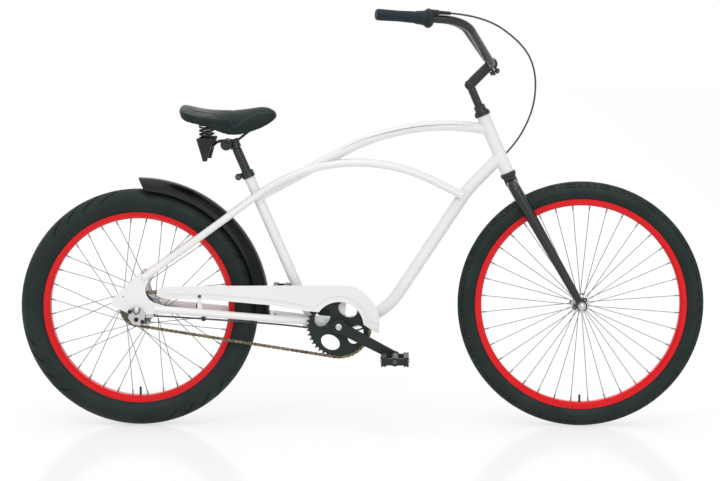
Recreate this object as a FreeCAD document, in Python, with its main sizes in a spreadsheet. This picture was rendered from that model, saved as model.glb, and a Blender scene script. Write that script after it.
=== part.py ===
import FreeCAD, Part
import math
import os
import re
import Sketcher

# Beach cruiser bicycle, in millimetres. +X is forward, +Y is the rider's left, +Z is up, and the
# origin lies on the ground, midway along the bicycle in its centre plane.

V = FreeCAD.Vector
ACROSS = V(0, 1, 0)

SIZES = [
    # Wheels
    ("wheelbase", 1195),
    ("front_tyre_diameter", 665),
    ("front_tyre_width", 54),
    ("front_bead_diameter", 559),
    ("front_rim_width", 36),
    ("rear_tyre_diameter", 644),
    ("rear_tyre_width", 72),
    ("rear_bead_diameter", 507),
    ("rear_rim_width", 46),
    ("tyre_casing", 3.5),
    ("tube_wall", 1.5),
    ("rim_flange", 6),
    ("rim_depth", 17.5),
    ("rim_wall", 2),
    ("spoke_count", 36),
    ("spoke_diameter", 2),
    ("nipple_diameter", 4),
    ("valve_diameter", 6),
    ("valve_length", 34),
    ("front_flange_diameter", 44),
    ("front_flange_spacing", 60),
    ("rear_flange_diameter", 92),
    ("rear_flange_spacing", 58),
    ("flange_thickness", 3),
    ("front_hub_spacing", 100),
    ("rear_hub_spacing", 130),
    ("axle_diameter", 9.5),
    ("front_cone_diameter", 17),
    ("rear_cone_diameter", 25),
    # Fits
    ("running_clearance", 0.08),
    ("seat_clearance", 0.02),
    # Frame
    ("head_angle", 66.6),
    ("head_tube_length", 167),
    ("head_tube_diameter", 36),
    ("seat_angle", 66.4),
    ("seat_tube_length", 449),
    ("seat_tube_setback", 70),
    ("seat_tube_diameter", 28.6),
    ("top_tube_diameter", 29),
    ("top_tube_arch", 12.104),
    ("top_tube_bend", 585),
    ("top_tube_run", 6.1),
    ("down_tube_diameter", 34),
    ("down_tube_slope", 45.3),
    ("down_tube_run", 125.1),
    ("down_tube_bend", 185),
    ("down_tube_foot", 32.84),
    ("down_tube_arch", 9.987),
    ("stay_diameter", 20),
    ("stay_bend", 457),
    ("stay_run", 91.2),
    ("chainstay_diameter", 20),
    ("frame_wall", 1.6),
    ("bracket_height", 277.6),
    ("bracket_shell_width", 73),
    ("bracket_shell_diameter", 41),
    ("dropout_thickness", 6),
    ("eyelet_diameter", 5),
    # Drive
    ("chain_pitch", 12.7),
    ("chain_links", 118),
    ("ring_teeth", 42),
    ("cog_teeth", 22),
    ("roller_diameter", 7.7),
    ("tooth_thickness", 3),
    ("chain_line", 50),
    ("crank_length", 170),
    ("crank_angle", 27.6),
    ("spindle_diameter", 17),
    ("pedal_axle_diameter", 12),
    ("pedal_length", 96),
    ("pedal_width", 70),
    ("pedal_height", 26),
    # Steering
    ("fork_length", 406),
    ("fork_rake", 41.7),
    ("steerer_diameter", 25.4),
    ("blade_top_diameter", 31),
    ("blade_tip_diameter", 21),
    ("blade_spread", 92),
    ("bar_diameter", 22.2),
    ("bar_wall", 2),
    ("bar_width", 650),
    ("grip_diameter", 30),
    ("grip_length", 106),
    ("cable_diameter", 5),
    # Seat
    ("post_diameter", 25.4),
    ("post_length", 280),
    ("post_exposed", 96),
    ("rail_diameter", 7),
    ("rail_spacing", 44),
    ("spring_wire", 4),
    ("spring_diameter", 31),
    ("spring_turns", 4.5),
    ("spring_spacing", 140),
    # Guards
    ("fender_radius", 353),
    ("fender_width", 84),
    ("fender_gauge", 1.5),
    ("guard_gauge", 2),
]

doc = FreeCAD.newDocument("beach_cruiser")
sheet = doc.addObject("Spreadsheet::Sheet", "sizes")
for row, (alias, value) in enumerate(SIZES, start=1):
    sheet.set(f"A{row}", alias.replace("_", " "))
    sheet.set(f"B{row}", str(value))
    sheet.setAlias(f"B{row}", alias)
doc.recompute()
S = {alias: float(sheet.get(alias)) for alias, value in SIZES}
NODES = {}


# Helpers

def link(expression):
    return re.sub(r"[a-z_]+", lambda word: "sizes." + word.group(0), expression)


def number(value):
    if isinstance(value, str):
        return float(sheet.evalExpression(link(value)))
    return float(value)


def bind(thing, **sizes):
    for name, value in sizes.items():
        if isinstance(value, str):
            thing.setExpression(name, link(value))
        else:
            setattr(thing, name, value)
    return thing


def node(label, thing):
    thing.Label = label
    NODES[label] = thing
    return thing


def along(start, direction):
    return FreeCAD.Placement(start, FreeCAD.Rotation(V(0, 0, 1), direction))


def cylinder(name, radius, height, start, direction=ACROSS):
    thing = bind(doc.addObject("Part::Cylinder", name), Radius=radius, Height=height)
    thing.Placement = along(start, direction)
    return thing


def cone(name, first, second, height, start, direction):
    thing = bind(doc.addObject("Part::Cone", name), Radius1=first, Radius2=second, Height=height)
    thing.Placement = along(start, direction)
    return thing


def ring(name, major, minor, centre):
    thing = bind(doc.addObject("Part::Torus", name), Radius1=major, Radius2=minor)
    thing.Placement = along(centre, ACROSS)
    return thing


def box(name, length, width, height, centre, direction=None):
    thing = bind(doc.addObject("Part::Box", name), Length=length, Width=width, Height=height)
    turn = FreeCAD.Rotation(V(1, 0, 0), direction) if direction else FreeCAD.Rotation()
    half = V(-number(length) / 2, -number(width) / 2, -number(height) / 2)
    thing.Placement = FreeCAD.Placement(centre + turn.multVec(half), turn)
    return thing


def fuse(name, *things):
    thing = doc.addObject("Part::MultiFuse", name)
    thing.Shapes = list(things)
    return thing


def cut(name, base, *tools):
    thing = doc.addObject("Part::Cut", name)
    thing.Base = base
    thing.Tool = tools[0] if len(tools) == 1 else group(name + "_tools", *tools)
    return thing


def group(name, *things):
    thing = doc.addObject("Part::Compound", name)
    thing.Links = list(things)
    return thing


def made(name, shape, placement=None):
    thing = doc.addObject("Part::Feature", name)
    thing.Shape = shape
    thing.Placement = placement or FreeCAD.Placement()
    return thing


def arc_centre(first, last, radius):
    middle = (first + last) * 0.5
    chord = last - first
    reach = math.sqrt(max(radius * radius - chord.Length ** 2 / 4, 0))
    side = V(-chord.y, chord.x, 0)
    side.normalize()
    return middle + side * math.copysign(reach, radius)


def sketch(body, plane, outline):
    # An outline is a list of corners (x, y) or (x, y, radius). A radius makes the run to the next
    # corner an arc, which turns left if the radius is positive.
    drawing = body.newObject("Sketcher::SketchObject", body.Name + "_outline")
    base = [part for part in body.Origin.OriginFeatures if part.Role == plane][0]
    drawing.AttachmentSupport = [(base, "")]
    drawing.MapMode = "FlatFace"
    corners = [V(number(corner[0]), number(corner[1]), 0) for corner in outline]
    starts = []
    for index, corner in enumerate(outline):
        first = corners[index]
        last = corners[(index + 1) % len(corners)]
        if len(corner) == 3:
            centre = arc_centre(first, last, number(corner[2]))
            circle = Part.Circle(centre, V(0, 0, 1), abs(number(corner[2])))
            left = number(corner[2]) > 0
            ends = (first, last) if left else (last, first)
            angles = [math.atan2(end.y - centre.y, end.x - centre.x) for end in ends]
            drawing.addGeometry(Part.ArcOfCircle(circle, angles[0], angles[1]), False)
            starts.append(1 if left else 2)
        else:
            drawing.addGeometry(Part.LineSegment(first, last), False)
            starts.append(1)
    for index, corner in enumerate(outline):
        after = (index + 1) % len(outline)
        joint = Sketcher.Constraint("Coincident", index, 3 - starts[index], after, starts[after])
        drawing.addConstraint(joint)
        for kind, axis, value in (("DistanceX", -2, corner[0]), ("DistanceY", -1, corner[1])):
            if number(value) == 0:
                drawing.addConstraint(Sketcher.Constraint("PointOnObject", index, starts[index], axis))
                continue
            place = Sketcher.Constraint(kind, -1, 1, index, starts[index], number(value))
            which = drawing.addConstraint(place)
            if isinstance(value, str):
                drawing.setExpression(f"Constraints[{which}]", link(value))
        if len(corner) == 3:
            drawing.addConstraint(Sketcher.Constraint("Radius", index, abs(number(corner[2]))))
    return drawing


def turned(name, outline, centre, direction=ACROSS, angle=360.0):
    # Corners are (radius, distance along the axis).
    body = doc.addObject("PartDesign::Body", name)
    drawing = sketch(body, "XY_Plane", outline)
    feature = body.newObject("PartDesign::Revolution", name + "_turn")
    feature.Profile = drawing
    feature.ReferenceAxis = (drawing, ["V_Axis"])
    feature.Angle = angle
    body.Placement = FreeCAD.Placement(centre, FreeCAD.Rotation(ACROSS, direction))
    return body


def plate(name, outline, thickness, centre):
    # Corners are (forward, up) from the centre, and the plate grows from it towards -Y.
    body = doc.addObject("PartDesign::Body", name)
    feature = body.newObject("PartDesign::Pad", name + "_pad")
    feature.Profile = sketch(body, "XZ_Plane", outline)
    bind(feature, Length=thickness)
    body.Placement = FreeCAD.Placement(centre, FreeCAD.Rotation())
    return body


def route(points, radii):
    # Straight runs through the points, joined by tangent arcs at the inner ones.
    edges = []
    last = points[0]
    for index in range(1, len(points) - 1):
        before = points[index - 1] - points[index]
        after = points[index + 1] - points[index]
        before.normalize()
        after.normalize()
        half = math.acos(max(-1, min(1, before.dot(after)))) / 2
        reach = radii[index - 1] / math.tan(half)
        first = points[index] + before * reach
        second = points[index] + after * reach
        bisector = before + after
        bisector.normalize()
        middle = points[index] + bisector * (radii[index - 1] / math.sin(half) - radii[index - 1])
        if (first - last).Length > 0.001:
            edges.append(Part.makeLine(last, first))
        edges.append(Part.Arc(first, middle, second).toShape())
        last = second
    edges.append(Part.makeLine(last, points[-1]))
    return Part.Wire(edges)


def sweep(name, wire, radius):
    spine = made(name + "_route", wire)
    section = bind(doc.addObject("Part::Circle", name + "_section"), Radius=radius)
    first = wire.Edges[0]
    start = first.valueAt(first.FirstParameter)
    section.Placement = along(start, first.tangentAt(first.FirstParameter))
    thing = doc.addObject("Part::Sweep", name)
    thing.Sections = [section]
    thing.Spine = (spine, [f"Edge{index + 1}" for index in range(len(wire.Edges))])
    thing.Solid = True
    thing.Frenet = False
    return thing


def bent_tube(name, points, radii, diameter, wall, cap=0.0):
    outer = sweep(name + "_outer", route(points, radii), f"{diameter} / 2")
    inner_points = list(points)
    for end, neighbour in ((0, 1), (-1, -2)):
        direction = points[neighbour] - points[end]
        direction.normalize()
        inner_points[end] = points[end] + direction * cap
    inner = sweep(name + "_inner", route(inner_points, radii), f"{diameter} / 2 - {wall}")
    return outer, inner


def meet(start, direction, other, other_direction):
    # The crossing of two lines in the centre plane.
    across = direction.x * other_direction.z - direction.z * other_direction.x
    gap = other - start
    reach = (gap.x * other_direction.z - gap.z * other_direction.x) / across
    return start + direction * reach


def slope(angle):
    return V(math.cos(math.radians(angle)), 0, math.sin(math.radians(angle)))


def climb(start, end):
    return math.degrees(math.atan2(end.z - start.z, end.x - start.x))


def arch_corner(start, end, arch, bend, run):
    # The corner of a tube that leaves the start at this angle to the straight line towards the end. Its bend
    # turns just far enough to leave the stated straight run before the end.
    away = end - start
    least, most = arch, 90.0
    for step in range(60):
        turn = (least + most) / 2
        room = away.Length * math.sin(math.radians(arch)) / math.sin(math.radians(turn))
        if room > bend * math.tan(math.radians(turn / 2)) + run:
            least = turn
        else:
            most = turn
    return end - slope(climb(start, end) + arch - turn) * room


# Main points

front_radius = S["front_tyre_diameter"] / 2
rear_radius = S["rear_tyre_diameter"] / 2
rear_axle = V(-(S["wheelbase"] + front_radius - rear_radius) / 2, 0, rear_radius)
front_axle = rear_axle + V(S["wheelbase"], 0, front_radius - rear_radius)

ring_pitch = S["chain_pitch"] / (2 * math.sin(math.pi / S["ring_teeth"]))
cog_pitch = S["chain_pitch"] / (2 * math.sin(math.pi / S["cog_teeth"]))


def chain_turns(distance):
    lean = math.asin((ring_pitch - cog_pitch) / distance)
    on_ring = (math.pi + 2 * lean) / (2 * math.pi) * S["ring_teeth"]
    on_cog = (math.pi - 2 * lean) / (2 * math.pi) * S["cog_teeth"]
    run = distance * math.cos(lean) / S["chain_pitch"]
    return lean, on_ring, run, on_cog


def chain_distance():
    low, high = 200.0, 1200.0
    for step in range(60):
        middle = (low + high) / 2
        lean, on_ring, run, on_cog = chain_turns(middle)
        if on_ring + on_cog + 2 * run > S["chain_links"]:
            high = middle
        else:
            low = middle
    return low


drive_distance = chain_distance()
drop = rear_radius - S["bracket_height"]
bracket = V(rear_axle.x + math.sqrt(drive_distance ** 2 - drop ** 2), 0, S["bracket_height"])

steer_down = slope(-S["head_angle"])
steer_forward = V(-steer_down.z, 0, steer_down.x)
head_bottom = front_axle - steer_down * S["fork_length"] - steer_forward * S["fork_rake"]
head_top = head_bottom - steer_down * S["head_tube_length"]


def steer_point(below, forward=0.0, left=0.0):
    # A place given along the steering axis from the foot of the head tube.
    return head_bottom + steer_down * below + steer_forward * forward + ACROSS * left


seat_up = slope(180 - S["seat_angle"])
seat_foot = bracket + V(-S["seat_tube_setback"], 0, 0)
seat_top = seat_foot + seat_up * S["seat_tube_length"]

# Front triangle

head_outer = cylinder("head_outer", "head_tube_diameter / 2", "head_tube_length", head_bottom, -steer_down)
head_inside = "head_tube_diameter / 2 - frame_wall"
head_bore = cylinder("head_bore", head_inside, "head_tube_length", head_bottom, -steer_down)
node("head_tube", cut("head", head_outer, head_bore))

seat_outer = cylinder("seat_outer", "seat_tube_diameter / 2", "seat_tube_length", seat_foot, seat_up)
seat_inside = "post_diameter / 2 + running_clearance"
seat_bore = cylinder("seat_bore", seat_inside, "seat_tube_length", seat_foot, seat_up)

shell_half = S["bracket_shell_width"] / 2
shell_outer = cylinder(
    "shell_outer", "bracket_shell_diameter / 2", "bracket_shell_width", bracket - ACROSS * shell_half
)
shell_bore = cylinder(
    "shell_bore", "bracket_shell_diameter / 2 - 3", "bracket_shell_width", bracket - ACROSS * shell_half
)

# A short yoke carries the seat tube behind the bracket, as the pedals sit forward of the seat.
yoke_end = V(seat_foot.x - 28, 0, seat_foot.z + 8)
yoke_run = bracket - yoke_end
yoke_outer = cylinder("yoke_outer", 17, yoke_run.Length, yoke_end, yoke_run)
yoke_start = yoke_end + V(3, 0, 0)
yoke_hollow = cylinder("yoke_hollow", "17 - frame_wall", yoke_run.Length - 3, yoke_start, yoke_run)
shell = cut("shell", shell_outer, shell_bore)
yoke = cut("yoke", yoke_outer, yoke_hollow, shell_outer)
node("bracket_shell", group("shell_and_yoke", shell, yoke))
node("seat_tube", cut("seat", seat_outer, seat_bore, yoke_outer))

top_start = seat_top - seat_up * 73
top_end = head_top + steer_down * 42
top_corner = arch_corner(
    top_start, top_end, S["top_tube_arch"], S["top_tube_bend"], S["top_tube_run"]
)
top_outer, top_inner = bent_tube(
    "top", [top_start, top_corner, top_end], [S["top_tube_bend"]], "top_tube_diameter", "frame_wall"
)
node("top_tube", cut("top_trimmed", top_outer, top_inner, seat_outer, head_outer))

down_start = head_bottom - steer_down * 47.7
down_high = down_start - slope(S["down_tube_slope"]) * S["down_tube_run"]
down_low = arch_corner(
    down_high, bracket, S["down_tube_arch"], S["down_tube_bend"], S["down_tube_foot"]
)
down_line = slope(climb(down_low, down_high))
down_middle = down_high - down_line * 186.7
down_outer, down_inner = bent_tube(
    "down",
    [down_start, down_high, down_low, bracket],
    [300, S["down_tube_bend"]],
    "down_tube_diameter",
    "frame_wall",
)
node("down_tube", cut("down_trimmed", down_outer, down_inner, head_outer, shell_outer))

# Twin stays, which run from the dropouts past the seat tube to the sides of the down tube

stay_base = rear_axle + V(35.6, 0, 98.7)
stay_pass = top_start + V(0, 0, 6.05)
stay_slope = climb(stay_base, stay_pass)
stay_line = slope(stay_slope)
stay_side = S["seat_tube_diameter"] / 2 + S["stay_diameter"] / 2 - 1
# The bend starts near the seat tube, where it leaves a straight run of the stated length to the down tube.
stay_front = down_high + V(-13.8, 0, -15.9)
inward = V(stay_line.z, 0, -stay_line.x) * S["stay_bend"]
gap = stay_front - stay_pass - inward
forward = gap.dot(stay_line)
bend_shift = forward - math.sqrt(forward ** 2 - gap.dot(gap) + S["stay_bend"] ** 2 + S["stay_run"] ** 2)
bend_start = stay_pass + stay_line * bend_shift
away = stay_front - bend_start - inward
front_slope = climb(V(), away) + math.degrees(math.acos(S["stay_bend"] / away.Length)) - 90
stay_corner = meet(stay_base, stay_line, stay_front, slope(front_slope))
dropout_side = S["rear_hub_spacing"] / 2 + S["dropout_thickness"] / 2


def on_stay(x, side):
    return V(x, side, stay_base.z + (x - stay_base.x) * math.tan(math.radians(stay_slope)))


def stay_points(side):
    return [
        on_stay(rear_axle.x + 17, side * dropout_side),
        on_stay(bend_start.x - 84.5, side * 55.5),
        on_stay(bend_start.x - 10.5, side * stay_side),
        stay_corner + ACROSS * side * stay_side,
        stay_front + ACROSS * side * stay_side,
    ]


def chainstay_points(side):
    fall = 0.0901
    start = rear_axle + V(46, 0, 3)
    middle = start + V(282, 0, -282 * fall)
    end = start + V(455, 0, -455 * fall)
    return [
        start + ACROSS * side * dropout_side,
        middle + ACROSS * side * 52,
        end + ACROSS * side * 20,
    ]


# Dropouts, with a slot for the axle that opens downwards and an eyelet for a rack

DROPOUT = [
    (8, 99),
    (-62, 33),
    (-69, 22, 11),
    (-62, 8),
    (-46, 1.5),
    (-17, -12),
    (17, -13),
    (44, -10),
    (74, -13),
    (74, 11),
    (56, 16, -40),
    (23, 60),
    (34, 84),
]


def dropout(name, side):
    face = side * S["rear_hub_spacing"] / 2
    outer = max(face, face + side * S["dropout_thickness"])
    centre = rear_axle + ACROSS * outer
    blank = plate(name + "_blank", DROPOUT, "dropout_thickness", centre)
    reach = S["rear_hub_spacing"]
    hole = cylinder(name + "_hole", "axle_diameter / 2 + seat_clearance", reach, rear_axle)
    hole.Placement.Base = rear_axle + ACROSS * (outer - reach / 2)
    slot_width = "axle_diameter + 2 * seat_clearance"
    slot = box(name + "_slot", slot_width, reach, 30, rear_axle + V(0, outer, -15))
    eye = cylinder(name + "_eye", "eyelet_diameter / 2", reach, rear_axle + V(-36, outer - reach / 2, 36))
    return cut(name + "_body", blank, hole, slot, eye)


plates = {}
stays = {}
chainstays = {}
chainstay_pair = []
for side, word in ((-1, "right"), (1, "left")):
    plates[side] = dropout("dropout_" + word, side)
    outer, inner = bent_tube(
        "stay_" + word, stay_points(side), [40, 30, S["stay_bend"]], "stay_diameter", "frame_wall", 3
    )
    stays[side] = outer
    node(
        "stay_tube_" + word,
        cut("stay_trim_" + word, outer, inner, seat_outer, top_outer, down_outer, plates[side]),
    )
    outer, inner = bent_tube(
        "chainstay_" + word, chainstay_points(side), [180], "chainstay_diameter", "frame_wall", 3
    )
    chainstays[side] = outer
    trims = [inner, shell_outer, yoke_outer, seat_outer, plates[side]]
    chainstay_pair.append(cut("chainstay_trim_" + word, outer, *trims))
node("dropouts", group("dropout_pair", plates[-1], plates[1]))
node("chainstays", group("chainstay_pair", *chainstay_pair))

# Bridges between the stays, which also carry the fender

bridge_radius = 7.0
low_angle = -3.4
low_centre = rear_axle + slope(low_angle) * (S["fender_radius"] + bridge_radius)
reach = S["fender_radius"] + bridge_radius
foot_height = math.cos(math.radians(stay_slope)) * (
    stay_base.z - rear_axle.z - (stay_base.x - rear_axle.x) * math.tan(math.radians(stay_slope))
)
high_centre = (
    rear_axle
    + V(-stay_line.z, 0, stay_line.x) * foot_height
    + stay_line * math.sqrt(reach ** 2 - foot_height ** 2)
)
bridges = []
for name, centre, half, hosts in (
    ("low_bridge", low_centre, 48, chainstays),
    ("high_bridge", high_centre, 48, stays),
):
    bar = cylinder(name + "_bar", bridge_radius, 2 * half, centre - ACROSS * half)
    trimmed = cut(name + "_trim", bar, hosts[-1], hosts[1])
    drill = cylinder(name + "_drill", 2.5, 40, rear_axle, centre - rear_axle)
    drill.Placement.Base = centre - (centre - rear_axle).normalize() * 20
    bridges.append(cut(name, trimmed, drill))
node("stay_bridges", group("bridges", *bridges))

# Headset: cups pressed into the head tube, races and lock nut on the steerer

head_bore_radius = "head_tube_diameter / 2 - frame_wall"
race_radius = "steerer_diameter / 2 + 1.3"
cup = [
    (f"{race_radius} + running_clearance", -8),
    (head_bore_radius, -8),
    (head_bore_radius, 0),
    ("head_tube_diameter / 2 + 3.5", 0),
    ("head_tube_diameter / 2 + 3.5", 9),
    (f"{race_radius} + running_clearance", 9),
]
race = [
    ("steerer_diameter / 2", -6),
    (race_radius, -6),
    (race_radius, 9.3),
    ("head_tube_diameter / 2 + 2.5", 9.3),
    ("head_tube_diameter / 2 + 1.5", 13),
    ("steerer_diameter / 2", 13),
]
lock_nut = [
    ("steerer_diameter / 2", 13),
    (17, 13),
    (17, 15),
    (15.5, 17),
    (15.5, 29),
    (14, 30),
    ("steerer_diameter / 2", 30),
]
low_cup = turned("low_cup", cup, head_bottom, steer_down)
high_cup = turned("high_cup", cup, head_top, -steer_down)
crown_race = turned("crown_race", race, head_bottom, steer_down)
top_race = turned("top_race", race, head_top, -steer_down)
top_nut = turned("top_nut", lock_nut, head_top, -steer_down)
node("headset_races", group("races", crown_race, top_race, top_nut))

# Fork: steerer, a bent crown and two tapered blades with slotted tips

blade_half = S["blade_spread"] / 2
tip_half = S["front_hub_spacing"] / 2 + 3
crown_below = 34.0
steerer_top = S["head_tube_length"] + 28


def blade_line(side):
    corner = steer_point(crown_below, 0, side * blade_half)
    direction = front_axle + ACROSS * side * tip_half - corner
    length = direction.Length
    direction.normalize()
    return corner, direction, length


crown_points = []
for side in (-1, 1):
    corner, direction, length = blade_line(side)
    ends = [corner + direction * 46, corner]
    crown_points += ends if side < 0 else ends[::-1]
crown_outer, crown_inner = bent_tube(
    "crown", crown_points, [30, 30], "blade_top_diameter", "frame_wall + 0.4"
)
seat_ring = cylinder(
    "crown_seat", "steerer_diameter / 2 + 5", crown_below - 13, steer_point(13), steer_down
)
steerer_end = steer_point(-steerer_top)
steerer = cylinder(
    "steerer_outer", "steerer_diameter / 2", steerer_top + crown_below, steerer_end, steer_down
)
steerer_bore = cylinder(
    "steerer_bore", "bar_diameter / 2 + seat_clearance", steerer_top + 8, steerer_end, steer_down
)
crown_solid = fuse("crown_solid", crown_outer, seat_ring, steerer)
crown_shell = cut("crown_shell", crown_solid, crown_inner, steerer_bore)
node("fork_crown", crown_shell)


def fork_blade(name, side):
    corner, direction, length = blade_line(side)
    start = corner + direction * 46
    run = length - 46 - 24
    outer = cone(name + "_outer", "blade_top_diameter / 2", "blade_tip_diameter / 2", run, start, direction)
    inner = cone(
        name + "_inner",
        "blade_top_diameter / 2 - frame_wall - 0.4",
        "blade_tip_diameter / 2 - frame_wall - 0.4",
        run - 18,
        start,
        direction,
    )
    tube = cut(name + "_tube", outer, inner)
    face = front_axle + ACROSS * (side * tip_half - 3)
    flat = V(direction.x, 0, direction.z).normalize()
    pieces = [
        tube,
        cylinder(name + "_end", 14.5, 6, face),
        box(name + "_tang", 40, 6, 18, face + ACROSS * 3 - flat * 22, flat),
    ]
    eyes = []
    for index, place in enumerate((V(-20, 0, -3), V(8, 0, 17))):
        pieces.append(cylinder(f"{name}_lug{index}", 6, 6, face + place))
        eyes.append(cylinder(f"{name}_eye{index}", "eyelet_diameter / 2", 40, face + place - ACROSS * 17))
    hole = cylinder(name + "_hole", "axle_diameter / 2 + seat_clearance", 40, face - ACROSS * 17)
    slot = box(name + "_slot", "axle_diameter + 2 * seat_clearance", 40, 30, face + V(0, 3, -15))
    return cut(name + "_body", fuse(name + "_solid", *pieces), hole, slot, *eyes)


node("fork_blades", group("blades", fork_blade("blade_right", -1), fork_blade("blade_left", 1)))

# Stem: a quill in the steerer, an arm that leans forward and a clamp with a pinch bolt

elbow = steer_point(-257)
quill_foot = steer_point(-112)
arm_line = slope(45)
clamp_centre = elbow + arm_line * 79
quill = cylinder("quill", "bar_diameter / 2", (elbow - quill_foot).Length, quill_foot, -steer_down)
knuckle = doc.addObject("Part::Sphere", "knuckle")
bind(knuckle, Radius="bar_diameter / 2 + 3.6")
knuckle.Placement.Base = elbow
arm = cone("arm", "bar_diameter / 2 + 3.2", "bar_diameter / 2 + 2.4", 79, elbow, arm_line)
clamp_half = 24.0
collar = cylinder("collar", "bar_diameter / 2 + 6", 2 * clamp_half, clamp_centre - ACROSS * clamp_half)
ear_line = slope(-62)
ear_centre = clamp_centre + ear_line * 21
ear = box("ear", 20, 36, 17, ear_centre, ear_line)
stem_solid = fuse("stem_solid", quill, knuckle, arm, collar, ear)
bar_hole = cylinder("bar_hole", "bar_diameter / 2", 60, clamp_centre - ACROSS * 30)
slit = box("slit", 30, 60, 2.4, clamp_centre + ear_line * 24, ear_line)
pinch_line = V(-ear_line.z, 0, ear_line.x)
pinch_foot = clamp_centre + ear_line * 24
pinch_hole = cylinder("pinch_hole", 3, 60, pinch_foot - pinch_line * 30, pinch_line)
bolt_hole = cylinder("bolt_hole", 4, 200, quill_foot - steer_down * -5, -steer_down)
bolt_seat = cylinder("bolt_seat", 7, 30, elbow - steer_down * 6, -steer_down)
node("stem", cut("stem_body", stem_solid, bar_hole, slit, pinch_hole, bolt_hole, bolt_seat))
wedge = [
    (4, 0),
    ("bar_diameter / 2", 0),
    ("bar_diameter / 2 - 1", 24),
    (4, 24),
]
stem_wedge = turned("wedge", wedge, quill_foot, steer_down)
long_bolt = [
    (0, 24),
    (4, 24),
    (4, -151),
    (6.8, -151),
    (6.8, -157),
    (0, -157),
]
stem_bolt = turned("long_bolt", long_bolt, quill_foot, steer_down)
pinch = [
    (0, -14.5),
    (5, -14.5),
    (5, -8.5),
    (3, -8.5),
    (3, 8.5),
    (5, 8.5),
    (5, 13),
    (0, 13),
]
pinch_bolt = turned("pinch", pinch, pinch_foot, pinch_line)
node("stem_bolts", group("stem_set", stem_wedge, stem_bolt, pinch_bolt))

# Handlebar with its grips

bar_half = S["bar_width"] / 2


def bar_end(side):
    return clamp_centre + V(-300, side * bar_half, 131)


def bar_corner(side):
    return clamp_centre + V(-75.5, side * (bar_half - 70), 114.7)


bar_points = [bar_end(-1), bar_corner(-1), clamp_centre - ACROSS * (clamp_half + 18)]
bar_points += [clamp_centre + ACROSS * (clamp_half + 18), bar_corner(1), bar_end(1)]
bar_outer, bar_inner = bent_tube("bar", bar_points, [110, 60, 60, 110], "bar_diameter", "bar_wall")
node("handlebar", cut("bar_tube", bar_outer, bar_inner))


def grip_line(side):
    return (bar_corner(side) - bar_end(side)).normalize()


def grip(name, side, length):
    outline = [
        (0, -5),
        ("grip_diameter / 2 - 3.5", -5),
        ("grip_diameter / 2 - 0.5", -1.5),
        ("grip_diameter / 2", 6),
        ("grip_diameter / 2 - 1", f"{length} * 0.5"),
        ("grip_diameter / 2 + 0.5", f"{length} - 6"),
        ("grip_diameter / 2 + 2", f"{length} - 4"),
        ("grip_diameter / 2 + 2", length),
        ("bar_diameter / 2", length),
        ("bar_diameter / 2", 0),
        (0, 0),
    ]
    return turned(name, outline, bar_end(side), grip_line(side))


node("grip_right", grip("right_grip", -1, "grip_length"))
node("grip_left", grip("left_grip", 1, "grip_length + 40"))

# Twist shifter on the right: a barrel that turns on the bar, and a housing with the cable adjuster

barrel_start = S["grip_length"] + 0.4
barrel = [
    ("bar_diameter / 2 + running_clearance", 0),
    (16, 0),
    (17.5, 2),
    (18.5, 14),
    (21, 20),
    (21, 22),
    ("bar_diameter / 2 + running_clearance", 22),
]
right_line = grip_line(-1)
right_end = bar_end(-1)
node("shifter_barrel", turned("barrel", barrel, right_end + right_line * barrel_start, right_line))
housing_start = right_end + right_line * (barrel_start + 22.4)
housing = [
    ("bar_diameter / 2", 0),
    (23, 0),
    (25, 3),
    (25, 9),
    (21, 15),
    ("bar_diameter / 2", 15),
]
shell_part = turned("housing_ring", housing, housing_start, right_line)
nub_up = V(-right_line.z, 0, right_line.x).normalize()
nub_offset = nub_up * 16.5 - ACROSS * 10.5
nub_length = 64.0
nub = [
    (0, 3),
    (6.6, 3),
    (6.6, 32),
    (5, 34),
    (4.5, nub_length),
    (0, nub_length),
]
nub_part = turned("nub", nub, housing_start + nub_offset, right_line)
node("shifter_housing", fuse("housing", shell_part, nub_part))

# Front axle and nuts

half_front = "front_hub_spacing / 2"
axle_radius = "axle_diameter / 2"
front_shaft = [
    (0, f"-({half_front}) - 17"),
    (axle_radius, f"-({half_front}) - 17"),
    (axle_radius, f"-({half_front})"),
    ("front_cone_diameter / 2", f"-({half_front})"),
    ("front_cone_diameter / 2", "-front_flange_spacing / 2 + 4"),
    (axle_radius, "-front_flange_spacing / 2 + 4"),
    (axle_radius, "front_flange_spacing / 2 - 4"),
    ("front_cone_diameter / 2", "front_flange_spacing / 2 - 4"),
    ("front_cone_diameter / 2", half_front),
    (axle_radius, half_front),
    (axle_radius, f"{half_front} + 17"),
    (0, f"{half_front} + 17"),
]


def dome_nut(name, centre, direction, face):
    outline = [
        (axle_radius, face),
        (11, face),
        (11, f"{face} + 1.5"),
        (9.5, f"{face} + 1.5"),
        (9.5, f"{face} + 7"),
        (8.5, f"{face} + 10.5"),
        (5.5, f"{face} + 13.2"),
        (0, f"{face} + 14"),
        (0, f"{face} + 11.4"),
        (axle_radius, f"{face} + 11.4"),
    ]
    return turned(name, outline, centre, direction)


front_nuts = [
    dome_nut("front_nut_right", front_axle, -ACROSS, "front_hub_spacing / 2 + 6"),
    dome_nut("front_nut_left", front_axle, ACROSS, "front_hub_spacing / 2 + 6"),
]
node("front_axle", group("front_axle_set", turned("front_shaft", front_shaft, front_axle), *front_nuts))

# Wheels


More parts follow.
